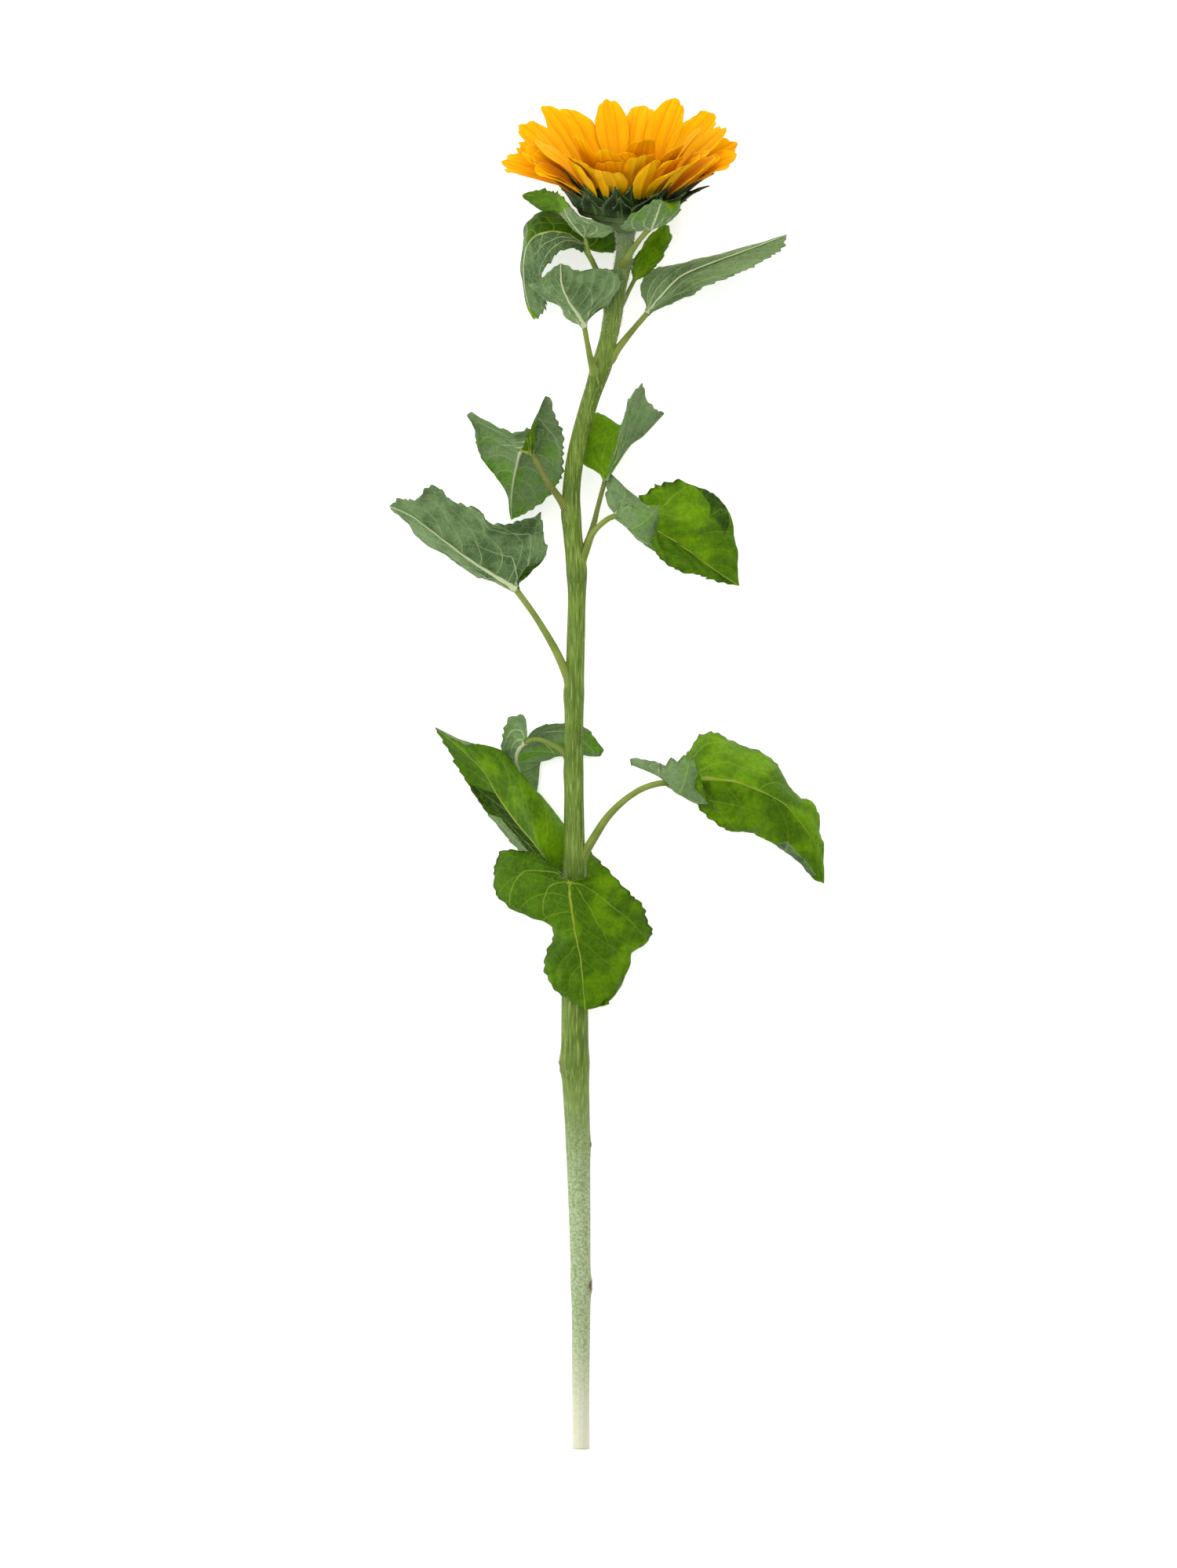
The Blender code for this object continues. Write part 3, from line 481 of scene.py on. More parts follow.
def bract_green():
    """A dark, downy green, darkened further as painted shade, paler along the midrib and towards the hairy
    edges.
    """
    made, tree = own_material("bract")
    place = parts_of(tree, attribute(tree, "place"))
    side = math_node(tree, "ABSOLUTE", place["Y"])
    slow, speckle = growth_on(tree, own_space(tree), 110.0, 900.0)
    # The dark greens are partly the bracts' own green and partly painted shade, where they lie in shadow
    # behind the petals.
    skin = layered(
        tree, blend_colours(tree, slow, colour(16, 30, 8), colour(40, 62, 18)),
        (spread(tree, side, 0.14, 0.02, 0.0, 0.6), (88, 114, 60)),
        (spread(tree, side, 0.78, 1.0, 0.0, 0.7), (92, 118, 66)),
        (spread(tree, place["X"], 0.6, 1.0, 0.0, 0.5), (86, 112, 44)),
        (place["Z"], (116, 138, 88)),
    )
    surface(tree, skin, spread(tree, speckle, 0.0, 1.0, 0.6, 0.8), (0.5, 0.0003, speckle), 0.15)
    return made


bowl_rings = turned_rings(RECEPTACLE_PROFILE, 60, 96)
# The bowl is one dark green, between a bract's rib and its edge, and paler where it meets the neck.
bowl_place = np.full(bowl_rings.shape, 0.4)
bowl_place[:, :, 2] = 0.8 * smooth_step(-12.0, -18.0, bowl_rings[:, :, 2])
receptacle = rolled_skin("receptacle_bowl", from_head(bowl_rings), {"place": bowl_place})
bract_skin = bract_green()
receptacle.data.materials.append(bract_skin)
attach(receptacle, "root")
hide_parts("receptacle")

# ---- Bracts ---------------------------------------------------------------------------------------
# Three crowns of pointed green bracts cup the petals from outside. A bract is a thin downy blade that
# narrows to a point, grown on the bowl, where the feet of a crown run together.
SETTLE_REACH = 4.0
BRACT_ROWS = 26
BRACT_COLUMNS = 13
BRACT_THICKNESS = 0.9
# foot is the radius and the height at which a crown grows, and rise a blade's slope at foot and tip, in
# degrees; raised, dropped and slant are added to it on the near, the far and the right-hand side.
CROWNS = {
    "bracts_inner": dict(count=13, foot=(28.6, -5.6), length=28.0, width=17.5, rise=(48.0, 30.0),
                         raised=16.0, dropped=8.0, slant=-6.0, turn=1.0, channel=1.4, pale_foot=0.0),
    "bracts_outer": dict(count=13, foot=(29.0, -10.6), length=26.5, width=20.0, rise=(52.0, 32.0),
                         raised=10.0, dropped=8.0, slant=-8.0, turn=0.5, channel=2.2, pale_foot=0.1),
    "bracts_lowest": dict(count=11, foot=(26.0, -15.0), length=25.0, width=18.0, rise=(58.0, 34.0),
                          raised=4.0, dropped=8.0, slant=-8.0, turn=0.1, channel=1.8, pale_foot=0.75),
}


def settled(points, half_thickness):
    """Thin pieces flattened onto the table where they would reach below it."""
    z = points[..., 2]
    z = 0.5 * (z + np.sqrt(z * z + SETTLE_REACH ** 2)) - 0.1 * SETTLE_REACH
    out = points.copy()
    out[..., 2] = np.maximum(z, half_thickness)
    return out


def radial_sheet(shape, share, sideways, lift):
    """A petal's or bract's middle surface in the head's frame. share runs from foot to tip; sideways
    and lift are in mm, one value for each place of the sheet."""
    cos, sin = math.cos(shape["azimuth"]), math.sin(shape["azimuth"])
    extra = shape["raised"] * max(0.0, -sin) - shape["dropped"] * max(0.0, sin) + shape["slant"] * cos
    foot, tip = shape["rise"][0] + extra, shape["rise"][1] + extra
    fine = np.linspace(0.0, 1.2, 121)
    curl = shape["curl"] * np.clip((fine - 0.6) / 0.4, 0.0, 1.5) ** 2
    rise = np.radians(foot + (tip - foot) * fine + curl)
    step = shape["length"] * (fine[1] - fine[0])
    halfway = (rise[1:] + rise[:-1]) / 2
    radius = shape["foot"][0] + np.concatenate([[0.0], np.cumsum(np.cos(halfway))]) * step
    height = shape["foot"][1] + np.concatenate([[0.0], np.cumsum(np.sin(halfway))]) * step
    r, h, e = (np.interp(share, fine, line) for line in (radius, height, rise))
    twist = math.radians(shape["twist"])
    raise_by = lift + sideways * math.sin(twist) + shape["channel"] * (2 * sideways / shape["width"]) ** 2
    r = r - raise_by * np.sin(e)
    h = h + raise_by * np.cos(e)
    flat = sideways * math.cos(twist)
    return np.stack([r * cos - flat * sin, r * sin + flat * cos, h], axis=-1)


def two_sided(sheet, thickness):
    """A sheet (rows x columns, left to right as its upper face is seen, tip ahead) as closed rings:
    over the upper face from left to right, and back along the lower one."""
    facing = unit(np.cross(np.gradient(sheet, axis=1), np.gradient(sheet, axis=0)))
    upper = sheet + facing * thickness[..., None] / 2
    lower = sheet - facing * thickness[..., None] / 2
    return np.concatenate([upper, lower[:, -2:0:-1]], axis=1)


def both_faces(field):
    """A field of a sheet's places, given to both of its faces."""
    return np.concatenate([field, field[:, -2:0:-1]], axis=1)


def sheet_grid(rows, columns):
    """For each place of a sheet, its share of the way to the tip, and its way across, -1 to 1."""
    return np.meshgrid(np.linspace(0.0, 1.0, rows), np.linspace(-1.0, 1.0, columns), indexing="ij")


def edge_taper(rows, columns):
    """1 inside a sheet and 0 along all its edges, so that its two faces meet there."""
    taper = np.ones((rows, columns))
    taper[:, [0, -1]] = 0.0
    taper[[0, -1], :] = 0.0
    taper[:, [1, -2]] *= 0.75
    return taper


draw = random.Random(21)
bract_edges = []
for crown, row in CROWNS.items():
    blades = []
    for k in range(row["count"]):
        shape = dict(row, azimuth=2 * math.pi * (k + row["turn"] + draw.uniform(-0.1, 0.1)) / row["count"])
        shape["length"] *= draw.uniform(0.78, 1.12)
        shape["twist"] = draw.uniform(-9.0, 9.0)
        shape["curl"] = draw.uniform(-16.0, 6.0)
        share, across = sheet_grid(BRACT_ROWS, BRACT_COLUMNS)
        outline = np.clip(1.0 - share ** 2.0, 0.0, 1.0) * (1.0 - 0.6 * smooth_step(0.22, 0.8, share))
        wave = 0.7 * across ** 2 * wander(100 + k, share * 24.0 + across * 3.0, 7.0)
        blade = radial_sheet(shape, share, -across * shape["width"] / 2 * outline, wave)
        sheet = settled(from_head(blade), BRACT_THICKNESS / 2)
        thickness = BRACT_THICKNESS * edge_taper(BRACT_ROWS, BRACT_COLUMNS)
        thickness = thickness * (1.0 + 0.7 * np.exp(-(across / 0.18) ** 2) * (1 - share))
        pale = row["pale_foot"] * smooth_step(0.4, 0.0, share)
        place = both_faces(np.stack([share, across, pale], axis=2))
        blades.append(rolled_skin(f"{crown}_{k + 1}", two_sided(sheet, thickness), {"place": place}))
        for edge, inner in ((0, 1), (-1, -2)):
            bract_edges.append((sheet[:, edge], unit(sheet[:, edge] - sheet[:, inner])))
    bpy.ops.object.select_all(action="DESELECT")
    for blade in blades:
        blade.select_set(True)
    bpy.context.view_layer.objects.active = blades[0]
    bpy.ops.object.join()
    bracts = bpy.context.object
    bracts.name = crown + "_blades"
    bracts.data.materials.clear()
    bracts.data.materials.append(bract_skin)
    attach(bracts, "root")
    if crown != "bracts_lowest":
        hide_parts(crown)

# ---- Disc -----------------------------------------------------------------------------------------
# The field of florets that the petals surround: several hundred small tubes packed in spirals on a
# dome, shut and nearly black in the middle, open and golden towards the rim.
DISC_PROFILE = [
    (0.0, 2.6), (7.0, 3.4), (14.0, 4.0), (20.0, 3.6), (24.0, 2.0), (26.0, 0.3), (26.2, -0.6),
    (0.0, -0.6),
]
DOME_RADII, DOME_HEIGHTS = zip(*DISC_PROFILE[:6])
FLORETS = 560
FLORET_FIELD = 26.0
SPIRAL_TURN = math.radians(137.508)


def brown_disc():
    """Dark brown florets, each lighter at its tip, golden with pollen in the outer ring."""
    made, tree = own_material("disc")
    place = parts_of(tree, attribute(tree, "place"))
    slow, speckle = growth_on(tree, own_space(tree), 260.0, 1500.0)
    dark = blend_colours(tree, slow, colour(34, 20, 10), colour(70, 42, 18))
    gold = blend_colours(tree, slow, colour(150, 84, 10), colour(226, 160, 24))
    tip = spread(tree, place["Y"], 0.35, 1.0)
    outer = product(tree, tip, spread(tree, place["X"], 0.62, 0.9))
    middle = product(tree, tip, spread(tree, place["X"], 0.3, 0.1))
    skin = layered(tree, blend_colours(tree, outer, dark, gold), (middle, (96, 100, 34)))
    surface(tree, skin, spread(tree, speckle, 0.0, 1.0, 0.6, 0.85))
    return made


def planted(name, pattern, matrices, place=None):
    """Copies of the pattern's mesh, one at each 4x4 matrix (in mm), as one piece with its own mesh."""
    source = pattern.data
    co = np.array([(*vertex.co, 1.0) for vertex in source.vertices])
    matrices = np.asarray(matrices)
    placed = np.einsum("mij,nj->mni", matrices, co)[:, :, :3]
    faces = [
        tuple(v + k * len(co) for v in face.vertices)
        for k in range(len(matrices)) for face in source.polygons
    ]
    mesh = bpy.data.meshes.new(name)
    mesh.from_pydata((placed.reshape(-1, 3) * MM).tolist(), [], faces)
    if place is not None:
        mesh.attributes.new("place", "FLOAT_VECTOR", "POINT").data.foreach_set("vector", place.ravel())
    mesh.shade_smooth()
    piece = bpy.data.objects.new(name, mesh)
    bpy.context.scene.collection.objects.link(piece)
    bpy.data.objects.remove(pattern)
    return piece


def matrix_at(place, away, turn, size):
    """A matrix in mm that stands a pattern on place, its +Z pointing away, turned about it."""
    upright = Vector(away).to_track_quat("Z", "Y").to_matrix().to_4x4()
    sized = Matrix.Rotation(turn, 4, "Z") @ Matrix.Diagonal((*size, 1.0))
    return np.array(Matrix.Translation(Vector(place)) @ upright @ sized)


disc_rings = turned_rings(DISC_PROFILE, 40, 80)
disc_place = np.zeros(disc_rings.shape)
disc_place[:, :, 0] = np.hypot(disc_rings[:, :, 0], disc_rings[:, :, 1]) / FLORET_FIELD
disc = rolled_skin("disc_bed", from_head(disc_rings), {"place": disc_place})
disc_skin = brown_disc()
disc.data.materials.append(disc_skin)

# A floret: a six-sided tube, waisted, with a flared mouth whose middle is sunk.
bpy.ops.object.select_all(action="DESELECT")
bpy.ops.mesh.primitive_cone_add(
    vertices=6, radius1=1.05, radius2=0.5, depth=1.0, location=(0.0, 0.0, 0.5)
)
bud = bpy.context.object
bpy.ops.object.transform_apply(location=True, rotation=True, scale=True)
bpy.ops.object.mode_set(mode="EDIT")
bpy.ops.mesh.select_all(action="SELECT")
bpy.ops.mesh.subdivide(number_cuts=1)
bpy.ops.object.mode_set(mode="OBJECT")
bud_heights = []
for vert in bud.data.vertices:
    rim = math.hypot(vert.co.x, vert.co.y)
    if vert.co.z > 0.9 and rim < 0.1:
        vert.co.z = 0.8
    elif vert.co.z > 0.9:
        vert.co.x *= 1.25
        vert.co.y *= 1.25
    elif vert.co.z > 0.3:
        vert.co.x *= 0.82
        vert.co.y *= 0.82
    bud_heights.append(vert.co.z)
matrices, floret_places = [], []
draw = random.Random(8)
for k in range(FLORETS):
    share = math.sqrt((k + 0.5) / FLORETS)
    radius = FLORET_FIELD * share
    dome = float(np.interp(radius, DOME_RADII, DOME_HEIGHTS))
    turn = k * SPIRAL_TURN
    place = (radius * math.cos(turn), radius * math.sin(turn), dome - 0.6)
    lean = 0.35 * (share - 0.35)
    away = head_turn @ np.array([math.cos(turn) * lean, math.sin(turn) * lean, 1.0])
    tall = (2.4 + 2.6 * smooth_step(0.5, 0.95, share)) * draw.uniform(0.85, 1.15)
    wide = 0.78 + 0.2 * share
    matrices.append(matrix_at(from_head(place), away, draw.uniform(0.0, 6.28), (wide, wide, tall)))
    floret_places.append([(share, max(0.0, height), draw.random()) for height in bud_heights])
florets = planted("disc_florets", bud, matrices, np.array(floret_places, float))
florets.data.materials.append(disc_skin)
for piece in (disc, florets):
    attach(piece, "root")
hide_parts("disc")

# ---- Ray petals -----------------------------------------------------------------------------------
# 34 golden petals in two rows round the disc, and 11 short ones that crowd its near side, outside the
# others' feet. Each is a thin strap with a narrow foot, two grooves along it and a blunt, notched tip,
# brighter on its inner face and greenish at the back of its foot.
TABLE_GAP = 0.26
PETAL_ROWS = {
    "outer": dict(count=18, foot=(29.4, 1.4), length=42.5, width=16.0, rise=(34.0, 15.0),
                  raised=20.0, dropped=8.0, slant=3.0, turn=0.0),
    "inner": dict(count=16, foot=(27.9, 3.4), length=45.5, width=15.5, rise=(58.0, 38.0),
                  raised=7.0, dropped=0.0, slant=3.0, turn=0.5),
}
PETAL_CHANNEL = 1.0
PETAL_STAGGER = 6.5
PETAL_FACING_TWIST = 31.0
PETAL_THICKNESS = 0.45
PETAL_GROOVES = (0.3, -0.34)
PETAL_LONG_ROWS = 52
PETAL_COLUMNS = 27
SHORT_PETALS = 11


def petal_gold(name, foot, middle, tip, streak_and_groove_shade):
    """Petal colour from foot to tip, partly painted shade at the foot, with fine lengthwise streaks and
    painted shade along the grooves, letting a little light through.
    """
    made, tree = own_material(name)
    place = parts_of(tree, attribute(tree, "place"))
    flat = attribute(tree, "flat")
    lines = node(tree, "Mapping", {"Vector": flat, "Scale": (0.035, 1.5, 9.0)}).outputs[0]
    fine = noise(tree, lines, 1.0, 3.0)
    broad = node(tree, "Mapping", {"Vector": flat, "Scale": (0.03, 0.28, 5.0)}).outputs[0]
    # Deeper orange at the foot, partly the petal's own colour and partly painted shade where the petals
    # crowd round the disc.
    skin = layered(
        tree, colour(*foot),
        (spread(tree, place["X"], 0.0, 0.45), middle),
        (spread(tree, place["X"], 0.45, 1.0), tip),
        (spread(tree, noise(tree, broad, 1.0, 2.0), 0.48, 0.78, 0.0, 0.55), streak_and_groove_shade),
        (spread(tree, fine, 0.5, 0.75, 0.0, 0.45), streak_and_groove_shade),
    )
    # Painted shade along the two grooves, deepest in each crease.
    for groove in PETAL_GROOVES:
        off = math_node(tree, "ABSOLUTE", math_node(tree, "SUBTRACT", place["Y"], groove))
        skin = layered(tree, skin, (spread(tree, off, 0.13, 0.02, 0.0, 0.5), streak_and_groove_shade))
    rough = spread(tree, fine, 0.3, 0.7, 0.55, 0.72)
    surface(tree, skin, rough, (0.35, 0.0002, fine), 0.06, (0.06, skin))
    return made


petal_face = petal_gold("petal_face", (236, 140, 0), (252, 180, 0), (255, 190, 0), (232, 142, 0))
petal_back = petal_gold("petal_back", (152, 130, 2), (232, 170, 0), (248, 186, 2), (198, 132, 0))
vary = random.Random(11)
shapes = []
for row_name, row in PETAL_ROWS.items():
    for k in range(row["count"]):
        shape = dict(row, channel=PETAL_CHANNEL)
        shape["azimuth"] = 2 * math.pi * (k + row["turn"] + vary.uniform(-0.035, 0.035)) / row["count"]
        shape["length"] *= vary.uniform(0.95, 1.04)
        shape["width"] *= vary.uniform(0.93, 1.02)
        shape["twist"] = PETAL_FACING_TWIST * math.cos(shape["azimuth"]) + vary.uniform(-3.0, 3.0)
        bend = PETAL_STAGGER * (-1) ** k + vary.uniform(-1.5, 1.5)
        shape["rise"] = [degrees + bend for degrees in row["rise"]]
        shapes.append((f"petal_{row_name}_{k + 1:02d}", shape))

draw = random.Random(77)
for k in range(SHORT_PETALS):
    shape = dict(foot=(30.0, draw.uniform(-0.6, 0.4)), raised=0.0, dropped=0.0, slant=0.0, channel=1.4)
    shape["azimuth"] = math.radians(204.0 + 13.6 * k + draw.uniform(-3.0, 3.0))
    shape["length"] = draw.uniform(34.0, 43.0)
    shape["width"] = draw.uniform(14.0, 17.5)
    shape["twist"] = 30.0 * math.cos(shape["azimuth"]) + draw.uniform(-9.0, 9.0)
    foot_rise = 36.0 + 20.0 * max(0.0, -math.sin(shape["azimuth"])) ** 2 + draw.uniform(-3.0, 7.0)
    shape["rise"] = [foot_rise, foot_rise - draw.uniform(-4.0, 12.0)]
    shapes.append((f"short_petal_{k + 1}", shape))

for number, (petal_name, shape) in enumerate(shapes):
    shape["curl"] = draw.uniform(-22.0, 16.0)
    share, across = sheet_grid(PETAL_LONG_ROWS, PETAL_COLUMNS)
    blunt = draw.random()
    end = 1.0 - (0.2 - 0.1 * blunt) * np.abs(across) ** 2.4
    for notch in (draw.uniform(-0.6, -0.25), draw.uniform(0.2, 0.6)):
        end = end - draw.uniform(0.0, 0.03 + 0.06 * blunt) * np.exp(-((across - notch) / 0.2) ** 2)
    outer = smooth_step(0.3, 1.0, share)
    reach = share * (end * outer + (1.0 - outer))
    outline = 0.42 + 0.58 * np.sin(math.pi / 2 * np.clip(share / 0.55, 0.0, 1.0))
    outline = outline * (1.0 - (0.42 - 0.24 * blunt) * smooth_step(0.62, 1.08, share) ** 1.3)
    groove = sum(np.exp(-((across - fold) / 0.13) ** 2) for fold in PETAL_GROOVES)
    ripple = wander(number * 3 + 1, share * shape["length"] + across * 2.0, 9.0)
    slow = wander(number * 5 + 2, share * shape["length"] + across * 6.0, 22.0)
    lift = (
        -0.8 * groove * np.sin(math.pi * np.clip(share, 0.0, 0.95)) ** 0.5
        + 0.9 * ripple * across ** 2 * smooth_step(0.25, 0.8, share)
        + 0.9 * slow * outer
    )
    sideways = -across * shape["width"] * 0.64 * outline
    sheet = from_head(radial_sheet(shape, reach, sideways, lift))
    sheet = settled(sheet, PETAL_THICKNESS / 2 + TABLE_GAP)
    sheet[:, :, 1:] = np.minimum(sheet[:, :, 1:], np.array(cad_high)[1:] / MM - PETAL_THICKNESS / 2)
    rings = two_sided(sheet, PETAL_THICKNESS * edge_taper(PETAL_LONG_ROWS, PETAL_COLUMNS))
    tint = np.full(share.shape, draw.random())
    fields = {
        "place": both_faces(np.stack([share, across, tint], axis=2)),
        "flat": both_faces(np.stack([share * shape["length"], sideways, tint], axis=2)),
    }
    faces = np.zeros((PETAL_LONG_ROWS - 1, 2 * PETAL_COLUMNS - 2), int)
    faces[:, PETAL_COLUMNS - 1:] = 1
    petal = rolled_skin(petal_name + "_blade", rings, fields, faces)
    petal.data.materials.append(petal_face)
    petal.data.materials.append(petal_back)
    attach(petal, "root")
    if not petal_name.startswith("short"):
        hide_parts(petal_name)

# ---- Leaves ---------------------------------------------------------------------------------------
# 14 leaves, each a heart-shaped blade with raised veins and a toothed edge that runs out of its own
# stalk, bright green on its face and downy grey-green on its back. Many are folded or hang over, so
# each is drawn by its own lines and then given its veins, teeth and ripples by one rule.
MIDRIB_LAG = 1.5
LEAF_THICKNESS = 0.45
LEAF_HALF_COLUMNS = 20
STALK_ROWS = 26
SIDE_VEINS = 8.0
VEIN_SWEEP = 0.6
LONG_VEINS = (0.62, 1.35)
TOOTH_SPACING = 6.0
TOOTH_DEPTH = 2.1
